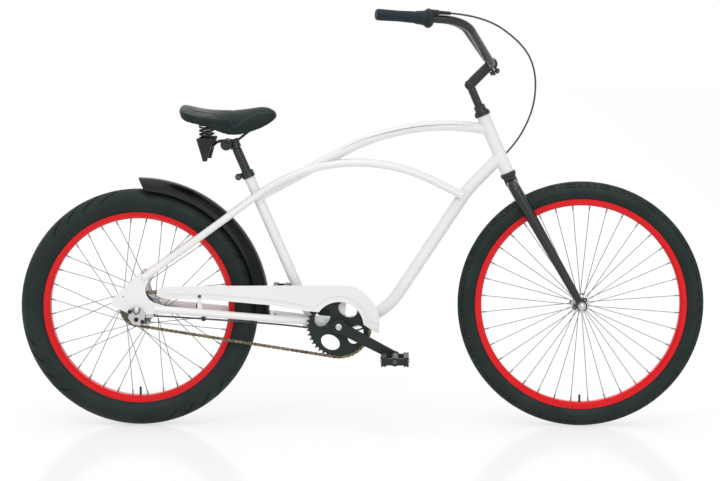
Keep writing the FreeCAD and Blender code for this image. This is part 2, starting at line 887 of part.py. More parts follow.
def wheel(word, centre):
    bead = f"{word}_bead_diameter / 2"
    flange = f"{bead} + rim_flange"
    half = f"{word}_rim_width / 2"
    wall = f"{half} - rim_wall"
    inner = f"{flange} - rim_depth"
    side = [
        (flange, half),
        (flange, wall),
        (bead, f"{wall} - 0.6"),
        (f"{bead} - 3.5", f"({half}) * 0.35"),
    ]
    under = [
        (inner, f"({half}) * 0.55"),
        (f"{bead} - 5", half),
    ]
    outline = list(side)
    outline += [(radius, f"-({place})") for radius, place in reversed(side)]
    outline += [(radius, f"-({place})") for radius, place in reversed(under)]
    outline += under
    blank = turned(word + "_rim_blank", outline, centre)
    down = V(0, 0, -1)
    bore_start = centre + down * (number(flange) + 2)
    bore = cylinder(word + "_valve_bore", "valve_diameter / 2 + seat_clearance", 60, bore_start, -down)
    rim = node(word + "_rim", cut(word + "_rim_bored", blank, bore))
    section = f"{word}_tyre_width / 2"
    middle = f"{word}_tyre_diameter / 2 - {section}"
    tyre_outer = ring(word + "_tyre_outer", middle, section, centre)
    tyre_inner = ring(word + "_tyre_inner", middle, f"{section} - tyre_casing", centre)
    gap = number(wall) - 4.5
    opening = cylinder(word + "_tyre_gap", f"{bead} + 4", 2 * gap, centre - ACROSS * gap)
    node(word + "_tyre", cut(word + "_tyre_shell", tyre_outer, tyre_inner, blank, opening))
    bladder = ring(word + "_tube_outer", middle, f"{section} - tyre_casing - seat_clearance", centre)
    hollow = ring(word + "_tube_inner", middle, f"{section} - tyre_casing - tube_wall", centre)
    skin = cut(word + "_tube_skin", bladder, hollow)
    stem_top = number(middle) - number(section) + S["tyre_casing"] + 0.7
    stem = cylinder(word + "_valve", "valve_diameter / 2", "valve_length", centre + down * stem_top, -down)
    node(word + "_inner_tube", fuse(word + "_tube_valve", skin, stem))
    spokes = []
    count = int(S["spoke_count"])
    hub_end = S[word + "_flange_diameter"] / 2 + 0.15
    lead = 0.0 if word == "front" else 60.0
    lean = hub_end * math.sin(math.radians(lead)) / number(inner)
    rim_end = number(inner) - 0.2 - S["nipple_diameter"] / 2 * lean
    wire = None
    for index in range(count):
        side_sign = -1 if index % 2 else 1
        turn = 1 if (index // 2) % 2 else -1
        angle = 360.0 * (index + 0.5) / count
        start = slope(angle - turn * lead) * hub_end
        start.y = side_sign * (S[word + "_flange_spacing"] / 2 + (turn * 2.2 if lead else 0))
        end = slope(angle) * rim_end
        end.y = side_sign * 3.0
        run = end - start
        if wire is None:
            thick = S["spoke_diameter"] / 2
            nipple = S["nipple_diameter"] / 2
            length = run.Length
            corners = [(0, 0), (thick, 0), (thick, length - 12), (nipple, length - 12)]
            corners += [(nipple, length), (0, length), (0, 0)]
            face = Part.Face(Part.makePolygon([V(x, 0, z) for x, z in corners]))
            wire = face.revolve(V(), V(0, 0, 1), 360)
        spoke = wire.copy()
        spoke.Placement = along(end - run.normalize() * length, run)
        spokes.append(spoke)
    place = FreeCAD.Placement(centre, FreeCAD.Rotation())
    node(word + "_spokes", made(word + "_lacing", Part.makeCompound(spokes), place))
    return rim


wheel("front", front_axle)
wheel("rear", rear_axle)


def hub(word, barrel_radius, end_radius, reach):
    flange = f"{word}_flange_diameter / 2"
    place = f"{word}_flange_spacing / 2"
    bore = f"{word}_cone_diameter / 2 + running_clearance"
    side = [
        (bore, f"{place} + {reach}"),
        (end_radius, f"{place} + {reach}"),
        (end_radius, f"{place} + flange_thickness / 2"),
        (flange, f"{place} + flange_thickness / 2"),
        (flange, f"{place} - flange_thickness / 2"),
        (barrel_radius, f"{place} - flange_thickness / 2 - 2"),
    ]
    outline = list(side)
    outline += [(radius, f"-({along_axis})") for radius, along_axis in reversed(side)]
    return outline


node("front_hub", turned("front_hub_shell", hub("front", 14, 14, 7), front_axle))
node("rear_hub", turned("rear_hub_shell", hub("rear", 35, 27, 10), rear_axle))

# Rear axle, brake arm and gear changer

half_rear = "rear_hub_spacing / 2"
rear_cone = "rear_cone_diameter / 2"
rear_shaft = [
    (0, f"-({half_rear}) - dropout_thickness - 11"),
    (axle_radius, f"-({half_rear}) - dropout_thickness - 11"),
    (axle_radius, f"-({half_rear})"),
    (9, f"-({half_rear})"),
    (9, "-chain_line - 6"),
    (rear_cone, "-chain_line - 6"),
    (rear_cone, "-rear_flange_spacing / 2 + 6"),
    (axle_radius, "-rear_flange_spacing / 2 + 6"),
    (axle_radius, "rear_flange_spacing / 2 - 6"),
    (rear_cone, "rear_flange_spacing / 2 - 6"),
    (rear_cone, f"{half_rear} - 14"),
    (9, f"{half_rear} - 14"),
    (9, half_rear),
    (axle_radius, half_rear),
    (axle_radius, f"{half_rear} + dropout_thickness + 16"),
    (0, f"{half_rear} + dropout_thickness + 16"),
]
right_face = f"{half_rear} + dropout_thickness"
plain_nut = [
    (axle_radius, right_face),
    (11, right_face),
    (11, f"{right_face} + 1.5"),
    (9, f"{right_face} + 1.5"),
    (9, f"{right_face} + 8"),
    (8, f"{right_face} + 9"),
    (axle_radius, f"{right_face} + 9"),
]
rear_nuts = [
    dome_nut("rear_nut_right", rear_axle, -ACROSS, right_face),
    turned("rear_nut_left", plain_nut, rear_axle, ACROSS),
]
node("rear_axle", group("rear_axle_set", turned("rear_shaft", rear_shaft, rear_axle), *rear_nuts))

arm_face = rear_axle + ACROSS * (S["rear_hub_spacing"] / 2 - 13)
arm_angle = -9.0
arm_length = 168.0
arm_line = slope(arm_angle)
arm_bar = box("brake_bar", arm_length, 4, 14, arm_face + ACROSS * 2 + arm_line * arm_length / 2, arm_line)
arm_end = cylinder("brake_boss", 20, 4, arm_face)
arm_bore = cylinder("brake_bore", 9, 20, arm_face - ACROSS * 8)
arm_tip = rear_axle + slope(arm_angle) * (arm_length - 10)
left_stay_line = chainstay_points(1)
stay_share = (arm_tip.x - left_stay_line[0].x) / (left_stay_line[1].x - left_stay_line[0].x)
clip_point = left_stay_line[0] + (left_stay_line[1] - left_stay_line[0]) * stay_share
clip_line = left_stay_line[1] - left_stay_line[0]
clip_line.normalize()
clip_band = cylinder("clip_band", "chainstay_diameter / 2 + 1.5", 14, clip_point - clip_line * 7, clip_line)
clip_drop = clip_point.z - arm_tip.z + 7
clip_leg = box("clip_leg", 14, 4, clip_drop, V(arm_tip.x, arm_face.y + 6.0, clip_point.z - clip_drop / 2))
clip = cut("brake_clip", fuse("clip_solid", clip_band, clip_leg), chainstays[1])
brake_arm = cut("brake_arm", fuse("brake_solid", arm_bar, arm_end), arm_bore, clip)
node("coaster_brake_arm", group("brake_set", brake_arm, clip))

pulley = [
    ("9 + running_clearance", "-chain_line - 9.5"),
    (18, "-chain_line - 9.5"),
    (16.5, "-chain_line - 8"),
    (18, "-chain_line - 6.5"),
    ("9 + running_clearance", "-chain_line - 6.5"),
]
node("shift_pulley", turned("pulley", pulley, rear_axle))
unit = [
    (9, f"-({half_rear})"),
    (22, f"-({half_rear})"),
    (22, "-chain_line - 10"),
    (9, "-chain_line - 10"),
]
unit_ring = turned("unit_ring", unit, rear_axle)
unit_depth = S["rear_hub_spacing"] / 2 - S["chain_line"] - 10
unit_middle = -S["rear_hub_spacing"] / 2 + unit_depth / 2
cable_end = rear_axle + V(44, unit_middle, -17)
unit_arm = box("unit_arm", 34, unit_depth, 12, rear_axle + V(27, unit_middle, -16))
cable_lane = cylinder("cable_lane", "cable_diameter / 2", 60, cable_end - V(8, 0, 0), V(1, 0, 0))
unit_inside = cut("unit", fuse("unit_solid", unit_ring, unit_arm), cable_lane, plates[-1])
CASE = [
    (-9, 8),
    (-23, 3, -40),
    (-22, -20),
    (-11, -37),
    (8, -41),
    (22, -29, -40),
    (24, -8),
    (12, 8),
]
case_face = rear_axle - ACROSS * (S["rear_hub_spacing"] / 2 + S["dropout_thickness"])
case_plate = plate("case_plate", CASE, 13, case_face)
case_dome = cylinder("case_dome", 11, 17, case_face + V(0, 0, -24), -ACROSS)
case_knob = cylinder("case_knob", 4.5, 19, case_face + V(-17, 0, -3), -ACROSS)
nut_room = cylinder("nut_room", 11.6, 60, case_face + ACROSS * 20, -ACROSS)
case = cut("shift_case", fuse("case_solid", case_plate, case_dome, case_knob), nut_room)
node("shift_unit", group("unit_set", unit_inside, case))

# Sprockets, cranks and chain


def toothed(name, teeth, pitch_radius, phase, middle):
    # Rounded seats for the rollers, with straight flanks to narrow tips.
    count = int(S[teeth])
    seat = S["roller_diameter"] / 2 + 0.12
    step = 2 * math.pi / count
    edges = []
    for index in range(count):
        angle = phase + index * step
        out = V(math.cos(angle), 0, math.sin(angle))
        across = V(-out.z, 0, out.x)
        centre = out * pitch_radius
        first = centre + (across * -0.9 - out * 0.4359) * seat
        bottom = centre - out * seat
        last = centre + (across * 0.9 - out * 0.4359) * seat
        edges.append(Part.Arc(first, bottom, last).toShape())
        tip_angle = angle + step / 2
        tip_out = V(math.cos(tip_angle), 0, math.sin(tip_angle))
        tip_across = V(-tip_out.z, 0, tip_out.x)
        tip = tip_out * (pitch_radius + 3.6)
        next_angle = angle + step
        next_out = V(math.cos(next_angle), 0, math.sin(next_angle))
        next_across = V(-next_out.z, 0, next_out.x)
        follow = next_out * pitch_radius + (next_across * -0.9 - next_out * 0.4359) * seat
        corners = [last, tip - tip_across * 0.9, tip + tip_across * 0.9, follow]
        for start, end in zip(corners, corners[1:]):
            edges.append(Part.makeLine(start, end))
    drawing = made(name + "_teeth", Part.Wire(edges))
    thing = doc.addObject("Part::Extrusion", name)
    thing.Base = drawing
    thing.DirMode = "Custom"
    thing.Dir = ACROSS
    bind(thing, LengthFwd="tooth_thickness")
    thing.Solid = True
    thing.Placement.Base = middle - ACROSS * S["tooth_thickness"] / 2
    return thing


lean, on_ring, run, on_cog = chain_turns(drive_distance)
to_rear = rear_axle - bracket
rear_heading = math.atan2(to_rear.z, to_rear.x)
ring_start = rear_heading - math.pi / 2 + lean


def heading(angle):
    return V(math.cos(angle), 0, math.sin(angle))


def chain_point(place):
    # A pin of the chain, counted in links from where the upper run meets the chainring.
    place = place % S["chain_links"]
    if place < on_ring:
        return bracket + heading(ring_start - place * 2 * math.pi / S["ring_teeth"]) * ring_pitch
    place -= on_ring
    last = ring_start - on_ring * 2 * math.pi / S["ring_teeth"]
    if place < run:
        first = bracket + heading(last) * ring_pitch
        second = rear_axle + heading(last) * cog_pitch
        return first + (second - first) * (place / run)
    place -= run
    if place < on_cog:
        return rear_axle + heading(last - place * 2 * math.pi / S["cog_teeth"]) * cog_pitch
    place -= on_cog
    first = rear_axle + heading(ring_start) * cog_pitch
    second = bracket + heading(ring_start) * ring_pitch
    return first + (second - first) * (place / run)


chain_middle = -ACROSS * S["chain_line"]
first_on_cog = math.ceil(on_ring + run)
cog_pin = chain_point(first_on_cog) - rear_axle
ring_plate = toothed("ring_blank", "ring_teeth", ring_pitch, ring_start, bracket + chain_middle)
cog_phase = math.atan2(cog_pin.z, cog_pin.x)
cog_plate = toothed("cog_blank", "cog_teeth", cog_pitch, cog_phase, rear_axle + chain_middle)

crank_line = {-1: slope(-S["crank_angle"]), 1: slope(180 - S["crank_angle"])}
windows = []
for index in range(4):
    radial = slope(-S["crank_angle"] + 90 * index)
    tangent = V(-radial.z, 0, radial.x)
    shape = Part.Ellipse(V(), 26.5, 19.5)
    window = doc.addObject("Part::Extrusion", f"window_{index}")
    window.Base = made(f"window_outline_{index}", Part.Wire([shape.toShape()]))
    window.DirMode = "Custom"
    window.Dir = V(0, 0, 1)
    window.LengthFwd = 20
    window.Solid = True
    turn = FreeCAD.Rotation(tangent, radial, V(), "XYZ")
    window.Placement = FreeCAD.Placement(bracket + chain_middle + radial * 50.2 - ACROSS * 10, turn)
    windows.append(window)
boss_radius = 20
boss_hole = cylinder("boss_hole", boss_radius, 20, bracket + chain_middle - ACROSS * 10)
node("chainring", cut("ring", ring_plate, boss_hole, *windows))
driver = [
    (f"{rear_cone} + running_clearance", "-chain_line - 5.5"),
    (19, "-chain_line - 5.5"),
    (19, "-rear_flange_spacing / 2 - 10.4"),
    (f"{rear_cone} + running_clearance", "-rear_flange_spacing / 2 - 10.4"),
]
driver_ring = turned("driver", driver, rear_axle)
cog_hole = cylinder("cog_hole", 18, 20, rear_axle + chain_middle - ACROSS * 10)
node("rear_sprocket", fuse("sprocket", cut("cog_ring", cog_plate, cog_hole), driver_ring))

arm_inner = S["chain_line"] + 13.5
arm_depth = 13.5


def crank_arm(name, side):
    line = crank_line[side]
    face = bracket + ACROSS * (side * arm_inner if side > 0 else -arm_inner - arm_depth)
    outline = [
        (0, -15.5),
        ("crank_length", -12),
        ("crank_length", 12),
        (0, 15.5),
    ]
    blade = plate(name + "_blade", outline, arm_depth, face + ACROSS * arm_depth)
    blade.Placement.Rotation = FreeCAD.Rotation(ACROSS, -math.degrees(math.atan2(line.z, line.x)))
    boss_start = S["chain_line"] - S["tooth_thickness"] / 2
    boss_length = arm_inner + arm_depth - boss_start
    boss_face = bracket + ACROSS * (boss_start if side > 0 else -boss_start - boss_length)
    boss = cylinder(name + "_boss", boss_radius, boss_length, boss_face)
    eye = cylinder(name + "_eye", 13.5, arm_depth, face + line * S["crank_length"])
    bore = cylinder(name + "_bore", "spindle_diameter / 2", 200, bracket - ACROSS * 100)
    pedal_bore = cylinder(
        name + "_pedal_bore", "pedal_axle_diameter / 2", 60, face + line * S["crank_length"] - ACROSS * 20
    )
    return cut(name + "_body", fuse(name + "_solid", blade, boss, eye), bore, pedal_bore)


node("crank_arm_right", crank_arm("crank_right", -1))
node("crank_arm_left", crank_arm("crank_left", 1))
arm_outer = arm_inner + arm_depth
spindle = [
    (0, -arm_outer + 1),
    ("spindle_diameter / 2", -arm_outer + 1),
    ("spindle_diameter / 2", arm_outer - 1),
    (0, arm_outer - 1),
]
cap = [
    (0, arm_outer - 1),
    ("spindle_diameter / 2", arm_outer - 1),
    ("spindle_diameter / 2", arm_outer + 1),
    (6, arm_outer + 2.5),
    (0, arm_outer + 2.5),
]
caps = [turned("cap_right", cap, bracket, -ACROSS), turned("cap_left", cap, bracket, ACROSS)]
node("crank_spindle", group("spindle_set", turned("spindle", spindle, bracket), *caps))
cup_bore = "spindle_diameter / 2 + running_clearance"
bearing_cup = [
    (cup_bore, "bracket_shell_width / 2 - 16"),
    ("bracket_shell_diameter / 2 - 3", "bracket_shell_width / 2 - 16"),
    ("bracket_shell_diameter / 2 - 3", "bracket_shell_width / 2"),
    ("bracket_shell_diameter / 2 + 0.5", "bracket_shell_width / 2"),
    ("bracket_shell_diameter / 2 + 0.5", "bracket_shell_width / 2 + 4"),
    (cup_bore, "bracket_shell_width / 2 + 4"),
]
bracket_cups = [
    turned("bracket_cup_right", bearing_cup, bracket, -ACROSS),
    turned("bracket_cup_left", bearing_cup, bracket, ACROSS),
]
node("bearing_cups", group("cups", low_cup, high_cup, *bracket_cups))

pedal_radius = "pedal_axle_diameter / 2"
pedal_shafts = []
for side, word in ((-1, "right"), (1, "left")):
    centre = bracket + crank_line[side] * S["crank_length"]
    shaft = [
        (0, arm_inner + 1),
        (pedal_radius, arm_inner + 1),
        (pedal_radius, arm_outer),
        (f"{pedal_radius} + 3", arm_outer),
        (f"{pedal_radius} + 3", arm_outer + 6),
        (pedal_radius, arm_outer + 6),
        (pedal_radius, f"{arm_outer} + 2 + pedal_length"),
        (0, f"{arm_outer} + 2 + pedal_length"),
    ]
    pedal_shafts.append(turned("pedal_shaft_" + word, shaft, centre, ACROSS * side))
    inside = arm_outer + 6.4
    middle = centre + ACROSS * side * (inside + S["pedal_length"] / 2)
    start = centre + ACROSS * (side * inside if side > 0 else -inside - S["pedal_length"])
    pieces = [cylinder(f"pedal_barrel_{word}", f"{pedal_radius} + 5.5", "pedal_length", start)]
    for sign in (-1, 1):
        edge = V(sign * (S["pedal_width"] / 2 - 5), 0, 0)
        rail = box(f"pedal_rail_{word}_{sign + 1}", 10, "pedal_length", "pedal_height - 4", middle + edge)
        pieces.append(rail)
        for rank, (back, up) in enumerate(((1, 1), (1, -1), (9, 1), (9, -1))):
            rise = up * (S["pedal_height"] / 2 - 3)
            spot = start + V(sign * (S["pedal_width"] / 2 - back), 0, rise)
            pieces.append(cylinder(f"pedal_ridge_{word}_{sign + 1}_{rank}", 3, "pedal_length", spot))
        place = middle + ACROSS * sign * (S["pedal_length"] / 2 - 5)
        pieces.append(box(f"pedal_end_{word}_{sign + 1}", "pedal_width - 2", 10, "pedal_height - 8", place))
    bore = cylinder(f"pedal_bore_{word}", f"{pedal_radius} + running_clearance", 300, centre - ACROSS * 150)
    bore.Placement.Base = start - ACROSS * 100
    node("pedal_" + word, cut("pedal_body_" + word, fuse("pedal_solid_" + word, *pieces), bore))
node("pedal_axles", group("pedal_shafts", *pedal_shafts))


def chain_links():
    # Bush links and pin links take turns. Each pin turns in the bush of the next link.
    pitch = S["chain_pitch"]
    roller = S["roller_diameter"] / 2
    rest = (V(), V(pitch, 0, 0))

    def strip(inside, thickness):
        outline = []
        for sign in (-1, 1):
            low = sign * inside if sign > 0 else -inside - thickness
            ends = [Part.makeCylinder(4.2, thickness, place + ACROSS * low, ACROSS) for place in rest]
            web = Part.makeBox(pitch, thickness, 6.4, V(0, low, -3.2))
            outline.append(ends[0].multiFuse([ends[1], web]).removeSplitter())
        return outline

    bushes = [Part.makeCylinder(roller, 4.2, place - ACROSS * 2.1, ACROSS) for place in rest]
    bush_plates = strip(2.0, 1.2)
    bush_link = bush_plates[0].multiFuse([bush_plates[1]] + bushes)
    for place in rest:
        bush_link = bush_link.cut(Part.makeCylinder(2.0, 20, place - ACROSS * 10, ACROSS))
    pins = [Part.makeCylinder(1.75, 10.4, place - ACROSS * 5.2, ACROSS) for place in rest]
    pin_plates = strip(3.4, 1.2)
    pin_link = pin_plates[0].multiFuse([pin_plates[1]] + pins)
    links = []
    for index in range(int(S["chain_links"])):
        first = chain_point(index)
        second = chain_point(index + 1)
        line = second - first
        link_shape = (bush_link if index % 2 else pin_link).copy()
        turn = FreeCAD.Rotation(ACROSS, -math.degrees(math.atan2(line.z, line.x)))
        slack = (line.Length - pitch) / 2
        link_shape.Placement = FreeCAD.Placement(first + line.normalize() * slack + chain_middle, turn)
        links.append(link_shape)
    return links


node("chain", made("chain_loop", Part.makeCompound(chain_links())))

# Seat post with its collar on the seat tube

seat_back = V(-seat_up.z, 0, seat_up.x)
post_top = seat_top + seat_up * S["post_exposed"]
post_tube = [
    ("post_diameter / 2 - 4.6", "-post_length"),
    ("post_diameter / 2", "-post_length"),
    ("post_diameter / 2", -30),
    ("post_diameter / 2 - 1.6", -26),
    ("post_diameter / 2 - 1.6", 0),
    ("post_diameter / 2 - 4.6", 0),
]
node("seat_post", turned("post", post_tube, post_top, seat_up))
collar_outline = [
    ("seat_tube_diameter / 2", -16),
    ("seat_tube_diameter / 2 + 3.4", -16),
    ("seat_tube_diameter / 2 + 3.4", 2),
    ("seat_tube_diameter / 2 + 2.4", 3),
    ("post_diameter / 2 + 0.5", 3),
    ("post_diameter / 2 + 0.5", 0),
    ("seat_tube_diameter / 2", 0),
]
collar_ring = turned("collar_ring", collar_outline, seat_top, seat_up)
lug_centre = seat_top + seat_back * (S["seat_tube_diameter"] / 2 + 11.5) - seat_up * 3
lug = cylinder("collar_lug", 9, 20, lug_centre - ACROSS * 10)
lug_web = box("collar_web", 16, 20, 14, lug_centre - seat_back * 8, seat_back)
collar_clear = cylinder("collar_clear", "seat_tube_diameter / 2", 60, seat_top - seat_up * 60, seat_up)
collar_post = cylinder("collar_post", "post_diameter / 2 + 0.5", 60, seat_top - seat_up * 10, seat_up)
collar_slit = box("collar_slit", 40, 2.4, 40, lug_centre, seat_back)
collar_bore = cylinder("collar_bore", 3, 40, lug_centre - ACROSS * 20)
collar_solid = fuse("collar_solid", collar_ring, lug, lug_web)
node("seat_collar", cut("seat_clamp", collar_solid, collar_clear, collar_post, collar_slit, collar_bore))
collar_bolt = [
    (0, -15),
    (5, -15),
    (6, -13.5),
    (6, -10),
    (3, -10),
    (3, 10),
    (6, 10),
    (6, 13.5),
    (5, 15),
    (0, 15),
]
clamp_screw = turned("collar_bolt", collar_bolt, lug_centre)

# Saddle clamp: a band on the post with a cross bolt, and cheeks that grip the rails

pivot = post_top + V(-15, 0, -13)
band = cylinder("band_outer", "post_diameter / 2 + 2.4", 24, post_top - seat_up * 25, seat_up)
lobe = cylinder("band_lobe", 10, 29, pivot - ACROSS * 14.5)
lobe_web = box("band_web", 16, 22, 18, (pivot + post_top - seat_up * 13) * 0.5)
band_bore = cylinder("band_bore", "post_diameter / 2 - 1.6", 80, post_top - seat_up * 60, seat_up)
bolt_bore = cylinder("cross_bore", 4, 60, pivot - ACROSS * 30)
clamp_band = cut("clamp_band", fuse("band_solid", band, lobe, lobe_web), band_bore, bolt_bore)
cross_bolt = [
    (0, -38),
    (7, -38),
    (8, -36.5),
    (8, -31.4),
    (4, -31.4),
    (4, 31.4),
    (8, 31.4),
    (8, 36.5),
    (7, 38),
    (0, 38),
]
node("saddle_clamp", group("clamp_set", clamp_band, turned("clamp_bolt", cross_bolt, pivot)))

nose_pin = pivot + V(90, 0, 60)
spring_half = S["spring_spacing"] / 2
rail_half = S["rail_spacing"] / 2
boot_foot = pivot + V(-54, 0, -42)
boot_height = 61.0


def rail_points(side):
    return [
        nose_pin + ACROSS * side * 13,
        pivot + V(28, side * rail_half, 10),
        pivot + V(-24, side * rail_half, 8.5),
        boot_foot + V(0, side * spring_half, 24),
    ]


rails = []
for side, word in ((-1, "right"), (1, "left")):
    rails.append(sweep("rail_" + word, route(rail_points(side), [24, 18]), "rail_diameter / 2"))
pin = cylinder("nose_pin", 4, 34, nose_pin - ACROSS * 17)
rail_frame = fuse("rails", *rails, pin)
cheeks = []
for side, word in ((-1, "right"), (1, "left")):
    start = pivot + ACROSS * (15 if side > 0 else -31)
    cheek = cylinder("cheek_" + word, 15.5, 16, start)
    hole = cylinder("cheek_bore_" + word, "4 + running_clearance", 80, pivot - ACROSS * 40)
    cheeks.append(cut("cheek_body_" + word, cheek, hole, rails[0 if side < 0 else 1]))
node("saddle_rails", group("rail_set", rail_frame, *cheeks))

boots = []
springs = []
spring_gap = 1000.0
cup_floor = 46.0
spring_rise = 48.0
for side, word in ((-1, "right"), (1, "left")):
    foot = boot_foot + ACROSS * side * spring_half
    boot_outline = [
        (0, 0),
        (6, 0),
        (9, 12),
        (22.5, boot_height - 4),
        (22.5, boot_height),
        ("spring_diameter / 2 + 0.7", boot_height),
        ("spring_diameter / 2 + 0.7", cup_floor),
        (0, cup_floor),
    ]
    cone_boot = turned("boot_cone_" + word, boot_outline, foot, V(0, 0, 1))
    boots.append(cut("boot_" + word, cone_boot, rails[0 if side < 0 else 1]))
    wire_radius = S["spring_wire"] / 2
    coil_radius = S["spring_diameter"] / 2 - wire_radius
    step = math.pi / 4
    count = int(round(S["spring_turns"] * 8)) + 1
    low = foot.z + cup_floor + wire_radius + S["seat_clearance"]
    rise = spring_rise - S["spring_wire"] - 2 * S["seat_clearance"]
    corners = []
    for index in range(count):
        angle = side * index * step
        reach = coil_radius / math.cos(step / 2)
        height = low + rise * index / (count - 1)
        corners.append(foot + V(reach * math.cos(angle), reach * math.sin(angle), height - foot.z))
    edge = (corners[1] - corners[0]).Length
    before = (corners[0] - corners[1]).normalize()
    after = (corners[2] - corners[1]).normalize()
    bend = edge / 2 * math.tan(math.acos(before.dot(after)) / 2) * 0.9999
    helix = route(corners, [bend] * (count - 2))
    spots = helix.discretize(Number=900)
    length = helix.Length / 899
    for first in range(0, 900, 3):
        for second in range(first + int(12 * wire_radius / length), 900, 3):
            spring_gap = min(spring_gap, (spots[first] - spots[second]).Length - 2 * wire_radius)
    springs.append(sweep("spring_" + word, helix, "spring_wire / 2"))
node("spring_boots", group("boots", *boots))
node("saddle_springs", group("springs", *springs))
print("least gap of a spring to itself", round(spring_gap, 2), "mm")

# Saddle: a padded cover with a crown and drawn-in sides, over a shell that rests on the springs

SADDLE = [
    # forward of the clamp, top, half width, bottom, skirt share
    (-124, 98, 46, 84, 0.9),
    (-115, 106, 82, 73, 0.93),
    (-92, 101, 103, 62, 0.95),
    (-56, 93, 107, 54, 0.95),
    (-18, 90.5, 84, 37, 0.88),
    (22, 92, 51, 26, 0.82),
    (64, 97, 38, 34, 0.84),
    (104, 100.5, 31, 50, 0.85),
    (125, 93, 23, 64, 0.85),
    (134, 84, 13, 73, 0.85),
]
cover_wall = 13.0
skirt_wall = 7.0


def saddle_section(forward, top, half, bottom, share, sag=1.0):
    shoulder = top - (top - bottom) * 0.42
    foot = half * share
    bulge = (half + foot) / 2 + 3.0 * sag
    points = [V(0, foot, bottom), V(0, bulge, (shoulder + bottom) / 2), V(0, half, shoulder)]
    points += [V(0, 0, top)]
    mirrored = [V(0, -point.y, point.z) for point in reversed(points[:3])]
    points = [pivot + V(forward, point.y, point.z) for point in points + mirrored]
    return Part.Wire(
        [
            Part.Arc(points[0], points[1], points[2]).toShape(),
            Part.Arc(points[2], points[3], points[4]).toShape(),
            Part.Arc(points[4], points[5], points[6]).toShape(),
            Part.makeLine(points[6], points[0]),
        ]
    )


def straight_section(forward, top, half, bottom):
    sides = ((half, bottom), (half, top), (-half, top), (-half, bottom))
    corners = [V(forward, left, up) for left, up in sides]
    return Part.makePolygon([pivot + corner for corner in corners + corners[:1]])


outer_skin = made("cover_skin", Part.makeLoft([saddle_section(*row) for row in SADDLE], True, False))
hollow_rows = [row for row in SADDLE if -100 < row[0] < 120]


def under_cover(clearance, depth):
    sections = []
    for forward, top, half, bottom, share in hollow_rows:
        inside = half * share - skirt_wall - clearance
        ceiling = top - cover_wall - (top - bottom) * 0.23 - clearance
        sections.append(straight_section(forward, ceiling, inside, ceiling - depth))
    return Part.makeLoft(sections, True, True)


cavity = made("cover_cavity", under_cover(0.0, 90.0))
node("saddle_cover", cut("cover", outer_skin, cavity))
pan_plate = made("pan_plate", under_cover(0.1, 4.0))
pan_pieces = [pan_plate]
seat_height = boot_foot.z + cup_floor + spring_rise
for side, word in ((-1, "right"), (1, "left")):
    foot = V(boot_foot.x, side * spring_half, seat_height)
    pan_pieces.append(cylinder("spring_seat_" + word, "spring_diameter / 2", 16, foot, V(0, 0, 1)))
bracket_block = box("nose_block", 16, 18, 18, nose_pin + V(0, 0, 3))
pan_pieces.append(bracket_block)
pin_bore = cylinder("pin_bore", "4 + running_clearance", 60, nose_pin - ACROSS * 30)
node("saddle_pan", cut("pan", fuse("pan_solid", *pan_pieces), pin_bore))

# Rear fender, a thin curved strip about the rear axle with a slanted tip

fender_half = S["fender_width"] / 2
fender_sag = 34.0
fender_curve = (fender_half ** 2 + fender_sag ** 2) / (2 * fender_sag)
fender_edge = S["fender_radius"] - fender_sag
inner_curve = fender_curve - S["fender_gauge"]
inner_half = math.sqrt(inner_curve ** 2 - (fender_curve - fender_sag) ** 2)
fender_outline = [
    (fender_edge, -fender_half, fender_curve),
    (fender_edge, fender_half),
    (fender_edge, inner_half, -inner_curve),
    (fender_edge, -inner_half),
]
fender_strip = turned("fender_strip", fender_outline, rear_axle, ACROSS, 90.0 - low_angle)
fender_strip.Placement.Rotation = FreeCAD.Rotation(ACROSS, -90)
tip_high = rear_axle + V(0, 0, S["fender_radius"])
tip_low = rear_axle + slope(86.2) * (fender_edge - 2)
tip_line = (tip_low - tip_high).normalize()
tip_normal = V(tip_line.z, 0, -tip_line.x)
tip_cut = box("fender_tip", 120, 120, 40, (tip_high + tip_low) * 0.5 + tip_normal * 20, tip_line)
bolts = []
bolt_holes = []
for name, centre in (("low", low_centre), ("high", high_centre)):
    outward = (centre - rear_axle).normalize()
    inside = "fender_radius - fender_gauge"
    beyond = "fender_radius + 14"
    bolt = [
        (0, f"{inside} - 3"),
        (4, f"{inside} - 3"),
        (5, f"{inside} - 2"),
        (5, f"{inside} - 0.3"),
        (2.5, f"{inside} - 0.3"),
        (2.5, beyond),
        (4.5, beyond),
        (4.5, f"{beyond} + 4"),
        (0, f"{beyond} + 4"),
    ]
    bolts.append(turned(f"fender_bolt_{name}", bolt, rear_axle, outward))
    bolt_holes.append(cylinder(f"fender_hole_{name}", 2.5, 80, rear_axle + outward * 310, outward))
node("rear_fender", cut("fender", fender_strip, tip_cut, *bolt_holes))

# Chain guard with its two brackets

guard_face = bracket - ACROSS * (S["chain_line"] + 8.5)
GUARD = [
    (108, -19.5),
    (110, 12, 110),
    (28, 111),
    (-385, 108.7),
    (-467, 106),
    (-485, 100, 12),
    (-485, 80),
    (-466, 72.5),
    (-368, 71.7),
    (-291.7, 66.3),
    (-182, 56.6),
    (-95, 42),
    (-54, 38, -66.1),
    (65.8, 5.3),
    (89.5, -11.1),
]
PANEL = [
    (109, 6),
    (110, 12, 110),
    (28, 111),
    (-385, 108.7),
    (-467, 106),
    (-482, 98),
    (-470, 87.5),
    (-368, 87),
    (-291.7, 82),
    (-182, 72.6),
    (-95, 58),
    (-64, 51.3, -82.1),
    (80, 18.4),
]
guard_plate = plate("guard_plate", GUARD, "guard_gauge", guard_face)
panel_face = guard_face - ACROSS * S["guard_gauge"]
guard_panel = plate("guard_panel", PANEL, 1.2, panel_face)
guard_lip = box("guard_lip", 478, 12, 2, guard_face + V(-212, 6, 106.6), slope(0.55))
screw_spot = guard_face + V(-375, 0, 80.4)
screw_hole = cylinder("screw_hole", 2.5, 30, screw_spot - ACROSS * 15)
